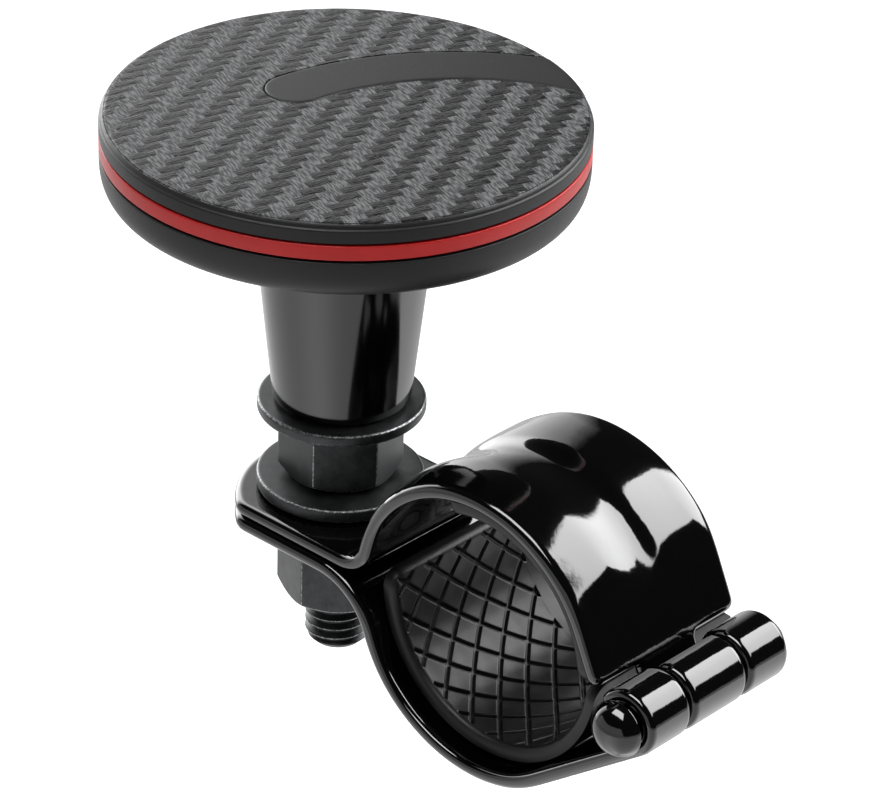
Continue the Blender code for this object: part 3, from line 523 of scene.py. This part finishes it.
def hinge_pin(enamel):
    """The rivet, turned about Y: profile heights run towards the front."""
    front, rear = BAND_WIDTH / 2 + PIN_HEAD_GAP, -BAND_WIDTH / 2 - FIT
    ball = (PIN_HEAD_RADIUS ** 2 + PIN_HEAD_HEIGHT ** 2) / (2 * PIN_HEAD_HEIGHT)
    rim = np.degrees(np.arcsin(min(PIN_HEAD_RADIUS / ball, 1.0)))
    dome = arc((0, front + PIN_HEAD_HEIGHT - ball), ball, 90, 90 - rim + 2, 20)
    dome[0, 0] = 0
    shank = [(PIN_HEAD_RADIUS, front), (PIN_RADIUS, front), (PIN_RADIUS, rear), (PIN_TAIL_RADIUS, rear),
             (PIN_TAIL_RADIUS, rear - PIN_TAIL_HEIGHT / 2), (PIN_RADIUS, rear - PIN_TAIL_HEIGHT),
             (0, rear - PIN_TAIL_HEIGHT)]
    radii = np.concatenate([np.zeros(len(dome)), [0.25, 0, 0, 0.2, 0.4, 0.4, 0]])
    turned("hinge_rivet", np.vstack([dome, shank]), radii, [enamel], "upper_clamp", sides=96, ring=False,
           axis="Y", nodes=["hinge_pin"], slot="black_enamel")


# Knob

def heights(name):
    """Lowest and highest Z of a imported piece, in millimetres."""
    low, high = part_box(name)
    return low.z * 1000, high.z * 1000


def cap_surface(top, run):
    """Place and normal on the cap's outside by distance run from its centre: dome, rounded edge, foot.

    Dome: z = top + dome (1 - (r / edge)^2). Rounded edge: a quarter circle past r = edge.
    """
    edge = KNOB_RADIUS - CAP_EDGE - 0.2
    turn = np.clip((run - edge) / CAP_EDGE, 0, np.radians(88))
    on_dome = run < edge
    r = np.where(on_dome, run, edge + CAP_EDGE * np.sin(turn))
    z = np.where(on_dome, top + CAP_DOME * (1 - (run / edge) ** 2), top - CAP_EDGE * (1 - np.cos(turn)))
    lean = np.where(on_dome, 2 * CAP_DOME * run / edge ** 2, turn)
    return r, z, np.sin(lean), np.cos(lean)


def inlay_shape(top, half, low, high, rounding, steps):
    """The curved bar's skin as offsets d from its centre line, carried round its U-shaped plan.

    In plan a point is the bar centre + (R +- d)(-cos a, sin a), and a half circle round its tip. The
    distance from the knob's axis becomes distance along the cap's outside, so that the bar wraps over the
    rim. Heights h stand along the cap's normal, from low to high.
    """
    end_run = KNOB_RADIUS - CAP_EDGE - 0.2 + CAP_EDGE * np.radians(86)
    turn = np.radians(np.linspace(0, 90, 7))
    d = np.concatenate([np.linspace(0, half - rounding, steps), half - rounding * (1 - np.sin(turn[1:])),
                        [half], np.linspace(half, 0, steps)])
    h = np.concatenate([np.full(steps, high), high - rounding * (1 - np.cos(turn[1:])),
                        [low], np.full(steps, low)])
    cx, cy = BAR_CENTRE
    away, lean = np.hypot(cx, cy), np.arctan2(cy, cx)

    def stop(radius):
        return np.arccos((away ** 2 + radius ** 2 - end_run ** 2) / (2 * radius * away)) - lean

    t = 1 - (1 - np.linspace(0, 1, 150)) ** 1.6
    start = np.radians(BAR_START)
    sides = []
    for side in (1, -1):
        radius = BAR_ARC + side * d
        a = start + (stop(radius)[None, :] - start) * t[:, None]
        sides.append(np.stack([cx - radius * np.cos(a), cy + radius * np.sin(a)], -1))
    tip = np.array([cx - BAR_ARC * np.cos(start), cy + BAR_ARC * np.sin(start)])
    around = np.radians(180 - BAR_START) + np.radians(np.linspace(0, 180, 41))[1:-1]
    cap = tip + d[None, :, None] * np.stack([np.cos(around), np.sin(around)], -1)[:, None]
    plan = np.concatenate([sides[0][::-1], cap, sides[1]])
    run = np.hypot(plan[..., 0], plan[..., 1])
    r, z, nr, nz = cap_surface(top, run)
    heading = plan / run[..., None]
    r = r + nr * h
    points = np.stack([STUD_X + r * heading[..., 0], r * heading[..., 1], z + nz * h], -1)
    rows, columns = points.shape[:2]
    last = (rows - 1) * columns
    cap_face = [*range(columns), *range(last + columns - 1, last - 1, -1)]
    return points, grid_quads(rows, columns).tolist() + [cap_face]


def stem(gloss):
    """The tapered sleeve, bored right through, with a collar that stands up into the knob's base."""
    foot_z = heights("stem_sleeve")[0]
    tall = heights("knob_base")[0] - FIT - foot_z
    corners = [(STEM_BORE, 0), (STEM_BORE, tall + WALL), (STEM_BORE + WALL, tall + WALL),
               (STEM_BORE + WALL, tall), (STEM_FOOT + STEM_TAPER * tall, tall),
               (STEM_FOOT + STEM_TAPER * 0.7, 0.7), (STEM_FOOT - 0.1, 0)]
    turned("tapered_sleeve", corners, (0.1, 0.1, 0.1, 0.1, 0.2, 0.4, 0.5), [gloss], "knob", low=foot_z,
           nodes=["stem_sleeve"], slot="gloss_plastic")


def base_and_ring(satin, red):
    """The rounded base, |x|^n + |z|^n = 1 in section, and the red ring on its rim."""
    base_z, (trim_z, trim_top) = heights("knob_base")[0], heights("trim_ring")
    round_in, power, tall = 6.0, 2 / 3.2, trim_z - FIT - base_z
    turn = np.linspace(0, np.pi / 2, 40)
    side = np.stack([KNOB_RADIUS - round_in + round_in * np.cos(turn) ** power,
                     tall * (1 - np.sin(turn) ** power)], 1)
    hole, inner = STEM_BORE + WALL + FIT, KNOB_RADIUS - WALL - FIT
    inside = [(hole, 0), (hole, WALL), (KNOB_RADIUS - WALL - 3, WALL), (inner, tall * 0.5), (inner, tall)]
    turned("base_shell", np.vstack([inside, side]), (0.2, 0.1, 0.1, 0.1, 0.1, 0.15) + (0,) * (len(side) - 1),
           [satin], "knob", low=base_z, nodes=["knob_base"], slot="satin_plastic")

    thick = trim_top - trim_z
    ring = [(KNOB_RADIUS - WALL, 0), (KNOB_RADIUS - WALL, thick), (KNOB_RADIUS, thick), (KNOB_RADIUS, 0)]
    turned("red_ring", ring, (0.1, 0.1, 0.2, 0.2), [red], "knob", low=trim_z, nodes=["trim_ring"],
           slot="red_plastic")


def cap_and_bar(film, satin):
    """The cap with the step where its film ends, and the curved bar let into it."""
    foot = heights("trim_ring")[1] + FIT
    shoulder = foot + SIDE_BAND
    top = shoulder + CAP_EDGE
    edge = KNOB_RADIUS - CAP_EDGE - 0.2
    lean = np.radians(FILM_END)
    film_end = top - CAP_EDGE + (CAP_EDGE - FILM_STEP) * np.cos(lean)
    under_film = edge + (CAP_EDGE - FILM_STEP) * np.sin(lean)
    dome = np.linspace(0, edge, 60)
    over = edge + CAP_EDGE * np.radians(np.linspace(3, FILM_END, 12))
    below_film = edge + CAP_EDGE * np.radians(np.linspace(FILM_END + 5, 86, 14))
    r, z = cap_surface(top, np.concatenate([dome, over, below_film]))[:2]
    step = len(dome) + len(over)
    r, z = np.insert(r, step, [under_film] * 2), np.insert(z, step, [film_end, film_end - 0.07])
    inner = KNOB_RADIUS - 2 * WALL - 2 * FIT
    below = [(KNOB_RADIUS, shoulder - 0.12), (KNOB_RADIUS, foot + 0.05), (KNOB_RADIUS - 0.05, foot),
             (inner, foot), (inner, top - WALL - 0.6), (inner - 0.6, top - WALL), (0, top - WALL)]
    radii = np.concatenate([np.zeros(len(r)), [0.15, 0, 0, 0, 0.2, 0.3, 0]])
    cap = turned("cap_shell", np.vstack([np.stack([r, z], 1), below]), radii, [film, satin], "knob",
                 sides=288, ring=False, nodes=["knob_cap"], slot="embossed_plastic",
                 second_below=film_end + 0.02)
    points, faces = inlay_shape(top, BAR_HALF, -BAR_DEPTH, 0.8, 0.0, 12)
    carve(cap, piece("pocket_cutter", points, faces, [film], "knob"))

    points, faces = inlay_shape(top, BAR_HALF - 0.16, -BAR_DEPTH + FIT, 0.06, 0.3, 12)
    piece("curved_bar", points, faces, [satin], "knob", ["cap_inlay"], "satin_plastic", crease=50)


def carve(target, cutter):
    """Cuts one mesh out of another, keeps the result as a plain mesh and removes the cutter."""
    modifier = target.modifiers.new("pocket", "BOOLEAN")
    modifier.operation, modifier.solver, modifier.object = "DIFFERENCE", "EXACT", cutter
    shaped = target.evaluated_get(bpy.context.evaluated_depsgraph_get())
    mesh = bpy.data.meshes.new_from_object(shaped)
    target.modifiers.clear()
    old, target.data = target.data, mesh
    bpy.data.meshes.remove(old)
    mesh.name = target.name
    mesh.shade_smooth()
    mesh.set_sharp_from_angle(angle=np.radians(30))
    bpy.data.objects.remove(cutter, do_unlink=True)


# Materials

def linear(hex_colour):
    """sRGB hex to linear RGBA."""
    values = [int(hex_colour[i:i + 2], 16) / 255 for i in (0, 2, 4)]
    return [v / 12.92 if v <= 0.04045 else ((v + 0.055) / 1.055) ** 2.4 for v in values] + [1.0]


def node(tree, kind, sockets=None, **settings):
    """One node with its settings; each socket gets a value, or a link from another node's output."""
    made = tree.nodes.new("ShaderNode" + kind)
    for name, value in settings.items():
        setattr(made, name, value)
    for name, value in (sockets or {}).items():
        if isinstance(value, bpy.types.NodeSocket):
            tree.links.new(value, made.inputs[name])
        else:
            made.inputs[name].default_value = value
    return made


def new_material(name, hex_colour, roughness, metallic=0.0, **sockets):
    """A material with the values that are the same all over it set on its own shader."""
    material = bpy.data.materials.new(name)
    material.use_nodes = True
    tree = material.node_tree
    shader = tree.nodes["Principled BSDF"]
    shader.inputs["Base Color"].default_value = linear(hex_colour)
    shader.inputs["Roughness"].default_value = roughness
    shader.inputs["Metallic"].default_value = metallic
    for socket, value in sockets.items():
        shader.inputs[socket.replace("_", " ")].default_value = value
    material.diffuse_color = linear(hex_colour)
    return material, tree, shader


def millimetres(tree):
    """Object coordinates in millimetres."""
    place = node(tree, "TexCoord").outputs["Object"]
    return node(tree, "VectorMath", {0: place, "Scale": 1000.0}, operation="SCALE").outputs[0]


def blend_colour(tree, share, low, high):
    """Low where share is 0, high where it is 1."""
    mix = node(tree, "Mix", {0: share, 6: linear(low), 7: linear(high)}, data_type="RGBA")
    return mix.outputs[2]


def ramp(tree, value, low, high, out_low=0.0, out_high=1.0):
    """A value carried from low..high to out_low..out_high and held at the ends."""
    return node(tree, "MapRange", {0: value, 1: low, 2: high, 3: out_low, 4: out_high}).outputs[0]


def calc(tree, operation, *values):
    """One step of arithmetic."""
    return node(tree, "Math", dict(enumerate(values)), operation=operation).outputs[0]


def noise(tree, place, scale, detail, **more):
    """Grey noise; on a place in millimetres, scale is features per millimetre."""
    return node(tree, "TexNoise", {"Vector": place, "Scale": scale, "Detail": detail, **more}).outputs[0]


def emboss(tree, shader, height, strength, distance):
    """Bump from a height, distance in metres."""
    bump = node(tree, "Bump", {"Strength": strength, "Distance": distance, "Height": height})
    tree.links.new(bump.outputs[0], shader.inputs["Normal"])


def twill_film():
    """PVC film embossed as a 2/2 twill, heat-pressed over the ABS cap.

    Tows 1.45 mm wide cross at right angles, and each cell carries fine fibre lines along its own tow. One
    set of cells is rougher than the other and painted lighter, a painted sheen for the glint of fibres that
    lie towards the lamps; this gives the staircase bands of the twill.
    """
    material, tree, shader = new_material("embossed_twill_film", "242425", 0.42, Specular_IOR_Level=0.1)
    place = millimetres(tree)
    tow = 1.45
    turned_place = node(tree, "Mapping", {"Vector": place, "Rotation": (0, 0, np.radians(-71)),
                                          "Scale": (1 / tow, 1 / tow, 1 / tow)}).outputs[0]
    wobble = node(tree, "TexNoise", {"Vector": place, "Scale": 1.1, "Detail": 2.0}).outputs["Color"]
    shift = node(tree, "VectorMath", {0: wobble, 1: (0.5, 0.5, 0.5)}, operation="SUBTRACT").outputs[0]
    shift = node(tree, "VectorMath", {0: shift, "Scale": 0.18}, operation="SCALE").outputs[0]
    woven = node(tree, "VectorMath", {0: turned_place, 1: shift}, operation="ADD").outputs[0]
    axes = node(tree, "SeparateXYZ", {0: woven})
    u, v = axes.outputs[0], axes.outputs[1]
    cell = [calc(tree, "FLOOR", side) for side in (u, v)]
    step = calc(tree, "SUBTRACT", cell[0], cell[1])
    step = calc(tree, "FLOORED_MODULO", step, 4.0)
    # over marks one set of cells: it sets their fibre direction and roughness, and where the painted sheen
    # goes
    over = calc(tree, "LESS_THAN", step, 1.5)
    lines = []
    for stretch in ((1.1, 7.5, 0.0), (7.5, 1.1, 0.0)):
        fibre = node(tree, "VectorMath", {0: woven, 1: stretch}, operation="MULTIPLY").outputs[0]
        lines.append(noise(tree, fibre, 1.0, 1.0, Roughness=0.4))
    fibres = node(tree, "Mix", {0: over, 2: lines[0], 3: lines[1]}).outputs[0]
    ridge = ramp(tree, fibres, 0.42, 0.60)
    part_u, part_v = (calc(tree, "FRACT", side) for side in (u, v))
    crosswise = node(tree, "Mix", {0: over, 2: part_v, 3: part_u}).outputs[0]
    bulge = calc(tree, "MULTIPLY", crosswise, np.pi)
    bulge = calc(tree, "SINE", bulge)
    lift = calc(tree, "MULTIPLY", bulge, 0.6)
    height = calc(tree, "MULTIPLY_ADD", ridge, 0.5, lift)
    dark = blend_colour(tree, ridge, "171718", "29292a")
    # Painted sheen: the lighter colour of the over cells stands in for the glint of fibres lying towards the
    # lamps
    light = blend_colour(tree, ridge, "3e3f40", "747576")
    colour = node(tree, "Mix", {0: over, 6: dark, 7: light}, data_type="RGBA").outputs[2]
    tree.links.new(colour, shader.inputs["Base Color"])
    tree.links.new(ramp(tree, over, 0.0, 1.0, 0.30, 0.56), shader.inputs["Roughness"])
    emboss(tree, shader, height, 0.8, 0.00012)
    return material


def satin_abs():
    """ABS moulded in a spark-eroded tool: a fine grain that spreads the light evenly."""
    material, tree, shader = new_material("satin_moulded_abs", "1a1a1b", 0.42, Specular_IOR_Level=0.16)
    place = millimetres(tree)
    grain = noise(tree, place, 5.0, 3.0)
    tree.links.new(ramp(tree, grain, 0.3, 0.7, 0.38, 0.48), shader.inputs["Roughness"])
    emboss(tree, shader, grain, 0.25, 0.00002)
    return material


def red_abs():
    """ABS dyed red right through, moulded with a half gloss."""
    material, tree, shader = new_material("red_moulded_abs", "c8201f", 0.38, Specular_IOR_Level=0.22)
    place = millimetres(tree)
    cloud = noise(tree, place, 0.35, 2.0)
    tree.links.new(blend_colour(tree, cloud, "b01312", "c41a19"), shader.inputs["Base Color"])
    grain = noise(tree, place, 6.0, 2.0)
    emboss(tree, shader, grain, 0.2, 0.00002)
    return material


def polished_abs():
    """ABS from a polished tool: deep black with a clean gloss and faint flow unevenness."""
    material, tree, shader = new_material("polished_black_abs", "060607", 0.12, Specular_IOR_Level=0.5)
    place = millimetres(tree)
    flow = noise(tree, place, 0.12, 2.0)
    tree.links.new(ramp(tree, flow, 0.3, 0.7, 0.10, 0.17), shader.inputs["Roughness"])
    emboss(tree, shader, flow, 0.1, 0.0001)
    return material


def stove_enamel():
    """Black stove enamel on pressed steel: thick and glassy, so lamps show sharp in it.

    Slow waves of about 3 mm and orange peel of about 0.6 mm make their edges swim a little.
    """
    material, tree, shader = new_material("black_stove_enamel", "060607", 0.07)
    place = millimetres(tree)
    wave = noise(tree, place, 0.3, 1.0)
    peel = noise(tree, place, 1.6, 2.0)
    bump = node(tree, "Bump", {"Strength": 0.35, "Distance": 0.0001, "Height": wave}).outputs[0]
    bump = node(tree, "Bump", {"Strength": 0.06, "Distance": 0.0001, "Height": peel, "Normal": bump})
    tree.links.new(bump.outputs[0], shader.inputs["Normal"])
    return material


def black_oxide():
    """Black-oxided steel: an oily dark conversion layer, with lighter specks along the edges."""
    material, tree, shader = new_material("black_oxide_steel", "2b2c2d", 0.42, 0.75)
    place = millimetres(tree)
    edge = node(tree, "Attribute", attribute_name="edge").outputs["Fac"]
    speck = noise(tree, place, 3.5, 4.0, Roughness=0.7)
    # Lighter specks along the edges, where the edge attribute is high
    speck_share = calc(tree, "MULTIPLY", edge, speck)
    speck_share = ramp(tree, speck_share, 0.38, 0.60)
    cloud = noise(tree, place, 0.6, 5.0, Roughness=0.65)
    body = blend_colour(tree, ramp(tree, cloud, 0.35, 0.65), "222324", "343536")
    colour = node(tree, "Mix", {0: speck_share, 6: body, 7: linear("8d8e8f")}, data_type="RGBA").outputs[2]
    tree.links.new(colour, shader.inputs["Base Color"])
    tree.links.new(ramp(tree, cloud, 0.3, 0.7, 0.36, 0.5), shader.inputs["Roughness"])
    emboss(tree, shader, speck, 0.35, 0.00003)
    return material


def nitrile():
    """Moulded nitrile rubber: dark, with a soft sheen and a painted highlight, lighter in patches, on its
    rounded rim.
    """
    material, tree, shader = new_material("black_nitrile_rubber", "151515", 0.5, Specular_IOR_Level=0.18)
    place = millimetres(tree)
    edge = node(tree, "Attribute", attribute_name="edge").outputs["Fac"]
    cloud = noise(tree, place, 0.5, 4.0)
    # Painted highlight: the rounded rim is painted lighter in patches, where its edge catches the light
    share = calc(tree, "MULTIPLY", edge, cloud)
    tree.links.new(blend_colour(tree, share, "0c0c0c", "1c1c1d"), shader.inputs["Base Color"])
    tree.links.new(ramp(tree, cloud, 0.3, 0.7, 0.36, 0.46), shader.inputs["Roughness"])
    grain = noise(tree, place, 4.0, 3.0)
    emboss(tree, shader, grain, 0.25, 0.00004)
    return material


def ground_steel():
    """Ground bearing steel: bright, with fine turning marks about 0.2 mm apart."""
    material, tree, shader = new_material("ground_steel", "b4b5b6", 0.22, 1.0)
    place = millimetres(tree)
    drawn = node(tree, "Mapping", {"Vector": place, "Scale": (0.3, 0.3, 5.0)}).outputs[0]
    marks = noise(tree, drawn, 1.0, 2.0)
    tree.links.new(ramp(tree, marks, 0.3, 0.7, 0.18, 0.32), shader.inputs["Roughness"])
    return material


def sintered_bronze():
    """Oil-filled sintered bronze: matt, with pores about 0.2 mm across."""
    material, tree, shader = new_material("sintered_bronze", "9c7a45", 0.45, 1.0)
    place = millimetres(tree)
    pores = node(tree, "TexVoronoi", {"Vector": place, "Scale": 4.0}).outputs["Distance"]
    colour = blend_colour(tree, ramp(tree, pores, 0.05, 0.3), "5d4627", "a5834c")
    tree.links.new(colour, shader.inputs["Base Color"])
    emboss(tree, shader, pores, 0.4, 0.00004)
    return material


# Studio

def bearings(azimuth, elevation):
    """Unit directions from angles in degrees; azimuth turns from +X towards +Y."""
    azimuth, elevation = np.radians(azimuth), np.radians(elevation)
    flat = np.cos(elevation)
    return np.stack([flat * np.cos(azimuth), flat * np.sin(azimuth), np.sin(elevation)], -1)


def mirrored(name, points, glow):
    """A card that only reflections show: the bright face of a soft box, or the black cloth between them.

    points is a grid in metres and glow the brightness at each point, where 1 is the white background.
    """
    rows, columns = glow.shape
    mesh = bpy.data.meshes.new(name)
    mesh.from_pydata(points.reshape(-1, 3).tolist(), [], grid_quads(rows, columns).tolist())
    mesh.attributes.new("glow", "FLOAT", "POINT").data.foreach_set("value", glow.astype(np.float32).ravel())
    material = bpy.data.materials.new(name)
    material.use_nodes = True
    tree = material.node_tree
    tree.nodes.remove(tree.nodes["Principled BSDF"])
    level = node(tree, "Attribute", attribute_name="glow").outputs["Fac"]
    shine = node(tree, "Emission", {"Strength": level})
    tree.links.new(shine.outputs[0], tree.nodes["Material Output"].inputs[0])
    mesh.materials.append(material)
    obj = linked(name, mesh)
    obj.visible_camera = obj.visible_diffuse = obj.visible_transmission = obj.visible_shadow = False


def soft_box(name, ribs, brightness, edge=0.05, reach=0.6):
    """A soft box's face as the clamp sees it, spanned between ribs.

    A rib is the azimuth and elevation of its low end, then of its high end. brightness goes from the low
    edge to the high one and falls to nothing over the share edge at the rim.
    """
    ribs = bearings(*np.moveaxis(np.asarray(ribs, float).reshape(len(ribs), 2, 2), -1, 0))
    u, v = np.meshgrid(np.linspace(0, 1, 49), np.linspace(0, 1, 33), indexing="ij")
    at = np.linspace(0, 1, len(ribs))
    low, high = (np.stack([np.interp(u, at, ribs[:, k, axis]) for axis in range(3)], -1) for k in (0, 1))
    points = reach * (low + v[..., None] * (high - low)) + Vector(LOOKED_AT)
    rim = np.clip(np.minimum(np.minimum(u, 1 - u), np.minimum(v, 1 - v)) / edge, 0, 1)
    mirrored(name, points, np.interp(v, (0, 1), brightness) * rim * rim * (3 - 2 * rim))


def black_tent():
    """Black cloth round the part, open at the table and, higher up, towards the photographer's side."""
    azimuth = np.linspace(0, 360, 61)
    towards_front = np.clip((62 - np.abs(azimuth - 255)) / 12, 0, 1)
    low_edge = -15 + 33 * towards_front
    u = np.linspace(0, 1, 7)
    elevation = low_edge[:, None] + (90 - low_edge[:, None]) * u[None, :]
    points = 1.1 * bearings(np.broadcast_to(azimuth[:, None], elevation.shape), elevation) + Vector(LOOKED_AT)
    mirrored("black_tent", points, np.full(elevation.shape, 0.03))


def left_wall():
    """A white wall on the left that falls off in brightness towards the back."""
    azimuth, share = np.meshgrid(np.linspace(126, 200, 38), np.linspace(0, 1, 22), indexing="ij")
    top = np.interp(azimuth, (146, 162), (46, 64))
    elevation = -24 + share * (top + 24)
    fall = np.exp((np.minimum(azimuth, 158) - 130) / 14)
    rim = np.clip((top - elevation) / 10, 0, 1) * np.clip((elevation + 40) / 30, 0, 1)
    rim = rim * np.clip((azimuth - 126) / 8, 0, 1) * np.clip((200 - azimuth) / 25, 0, 1)
    mirrored("left_wall", 0.9 * bearings(azimuth, elevation) + Vector(LOOKED_AT), fall * rim)


def table_light():
    """The pools of light that the boxes leave on the table."""
    azimuth, r = np.meshgrid(np.linspace(0, 360, 73), np.linspace(0.0, 0.6, 13), indexing="ij")
    level = 1.4 + 0.9 * np.exp(-((azimuth - 268) / 28) ** 2) + 1.2 * np.exp(-((azimuth - 40) / 35) ** 2)
    level = level - 0.7 * np.exp(-((azimuth - 125) / 25) ** 2)
    turn = np.radians(azimuth)
    points = np.stack([r * np.cos(turn), r * np.sin(turn), np.full_like(r, TABLE_Z + 0.002)], -1)
    mirrored("table_light", points, level)


def area_light(name, azimuth, elevation, size, power):
    """A lamp 0.7 m away. Its own reflection is left to the soft boxes' faces."""
    lamp = bpy.data.lights.new(name, "AREA")
    lamp.shape, lamp.size, lamp.size_y = "RECTANGLE", *size
    lamp.energy = power
    obj = linked(name, lamp)
    away = Vector(bearings(azimuth, elevation))
    obj.location = Vector(LOOKED_AT) + 0.7 * away
    obj.rotation_euler = (-away).to_track_quat("-Z", "Y").to_euler()
    obj.visible_glossy = False


def seen(tree):
    """1 for rays from the camera, off a glossy surface and through a clear one, 0 for the rest."""
    rays = node(tree, "LightPath")
    share = rays.outputs["Is Camera Ray"]
    for kind in ("Is Glossy Ray", "Is Transmission Ray"):
        share = calc(tree, "MAXIMUM", share, rays.outputs[kind])
    return share


def studio():
    """White surroundings and plain lamps; soft boxes, black cloth, a wall and a table in reflections."""
    world = bpy.data.worlds.new("studio")
    bpy.context.scene.world = world
    world.use_nodes = True
    tree = world.node_tree
    back = tree.nodes["Background"]
    back.inputs["Color"].default_value = (1, 1, 1, 1)
    tree.links.new(ramp(tree, seen(tree), 0.0, 1.0, 0.25, 1.0), back.inputs["Strength"])
    area_light("back_right_lamp", 50, 48, (0.45, 0.40), 3.5)
    area_light("front_lamp", 265, 60, (0.45, 0.30), 1.5)
    area_light("left_lamp", 165, 15, (0.35, 0.35), 1.0)
    soft_box("back_right_box", ((15, 20, 27, 62), (54, 19, 58, 64), (60, 2, 66, 61), (94, 10, 83, 50)),
             (11.5, 14.5))
    soft_box("front_box", ((228, 50, 205, 66), (312, 46, 320, 72)), (14.0, 15.0))
    black_tent()
    left_wall()
    table_light()


def floor():
    """A pale floor, lit to white where the part's shadow doesn't fall."""
    size = 3.0
    mesh = bpy.data.meshes.new("floor")
    corners = [(x * size, y * size, TABLE_Z) for x, y in ((-1, -1), (1, -1), (1, 1), (-1, 1))]
    mesh.from_pydata(corners, [], [(0, 1, 2, 3)])
    obj = linked("floor", mesh)
    material, tree, shader = new_material("painted_board", "f4f4f4", 0.8)
    shader.inputs["Emission Color"].default_value = (1, 1, 1, 1)
    tree.links.new(ramp(tree, seen(tree), 0.0, 1.0, 0.0, 0.5), shader.inputs["Emission Strength"])
    mesh.materials.append(material)


def camera():
    """The photograph's camera: 500 mm away, azimuth 41.57, elevation 29.58, rolled 2.05 degrees."""
    azimuth, elevation, roll = np.radians([41.57, 29.58, 2.05])
    focal, centre = 4405.18, (483.56, 380.19)
    flat = np.cos(elevation)
    back = Vector((np.sin(azimuth) * flat, -np.cos(azimuth) * flat, np.sin(elevation)))
    right = Vector((np.cos(azimuth), np.sin(azimuth), 0))
    up = back.cross(right)
    right, up = np.cos(roll) * right + np.sin(roll) * up, np.cos(roll) * up - np.sin(roll) * right
    place = Vector((-0.010, 0, 0.025)) + 0.500 * back
    lens = bpy.data.cameras.new("photo_camera")
    lens.sensor_width, lens.sensor_fit = 36.0, "HORIZONTAL"
    lens.lens = focal / PHOTO_WIDTH * lens.sensor_width
    lens.shift_x = (PHOTO_WIDTH / 2 - centre[0]) / PHOTO_WIDTH
    lens.shift_y = (centre[1] - PHOTO_HEIGHT / 2) / PHOTO_WIDTH
    lens.clip_start, lens.clip_end = 0.01, 20
    obj = linked("photo_camera", lens)
    obj.matrix_world = Matrix.Translation(place) @ Matrix((right, up, back)).transposed().to_4x4()
    bpy.context.scene.camera = obj


def main():
    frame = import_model()
    film, satin, red, gloss = twill_film(), satin_abs(), red_abs(), polished_abs()
    enamel, oxide, rubber = stove_enamel(), black_oxide(), nitrile()
    steel, bronze = ground_steel(), sintered_bronze()
    upper_half(enamel)
    lower_half(enamel)
    turn = np.degrees(PAD_SPLIT / (BAND_RADIUS - SHEET - PAD))
    pad_piece("upper_lining", "pad_upper", turn, PAD_UPPER_END, PAD_UPPER_SHIFT, ((57, 0.6), (42, 10.2)),
              rubber, "upper_clamp")
    pad_piece("lower_lining", "pad_lower", PAD_LOWER_START, 360 - turn, PAD_LOWER_SHIFT,
              ((268.2, 2.2), (87.6, 10.2)), rubber, "lower_jaw")
    hinge_pin(enamel)
    threaded_stud(oxide)
    washers(oxide)
    hex_nut("jam_hexagon", "jam_nut", JAM_NUT_HEIGHT, JAM_NUT_Z, 48.2, "upper_clamp", True, oxide)
    hex_nut("clamp_hexagon", "clamp_nut", CLAMP_NUT_HEIGHT, -EAR_TOP - FIT - CLAMP_NUT_HEIGHT, 37.6,
            "loose_nut", False, oxide)
    stem(gloss)
    base_and_ring(satin, red)
    cap_and_bar(film, satin)
    for name, obj in frame["nodes"].items():
        if not obj.hide_render:
            obj.data.materials.clear()
            obj.data.materials.append(bronze if name in ("stem_bush", "bearing_cage") else steel)
    studio()
    floor()
    camera()
    bpy.context.scene.view_settings.view_transform = "Standard"


main()
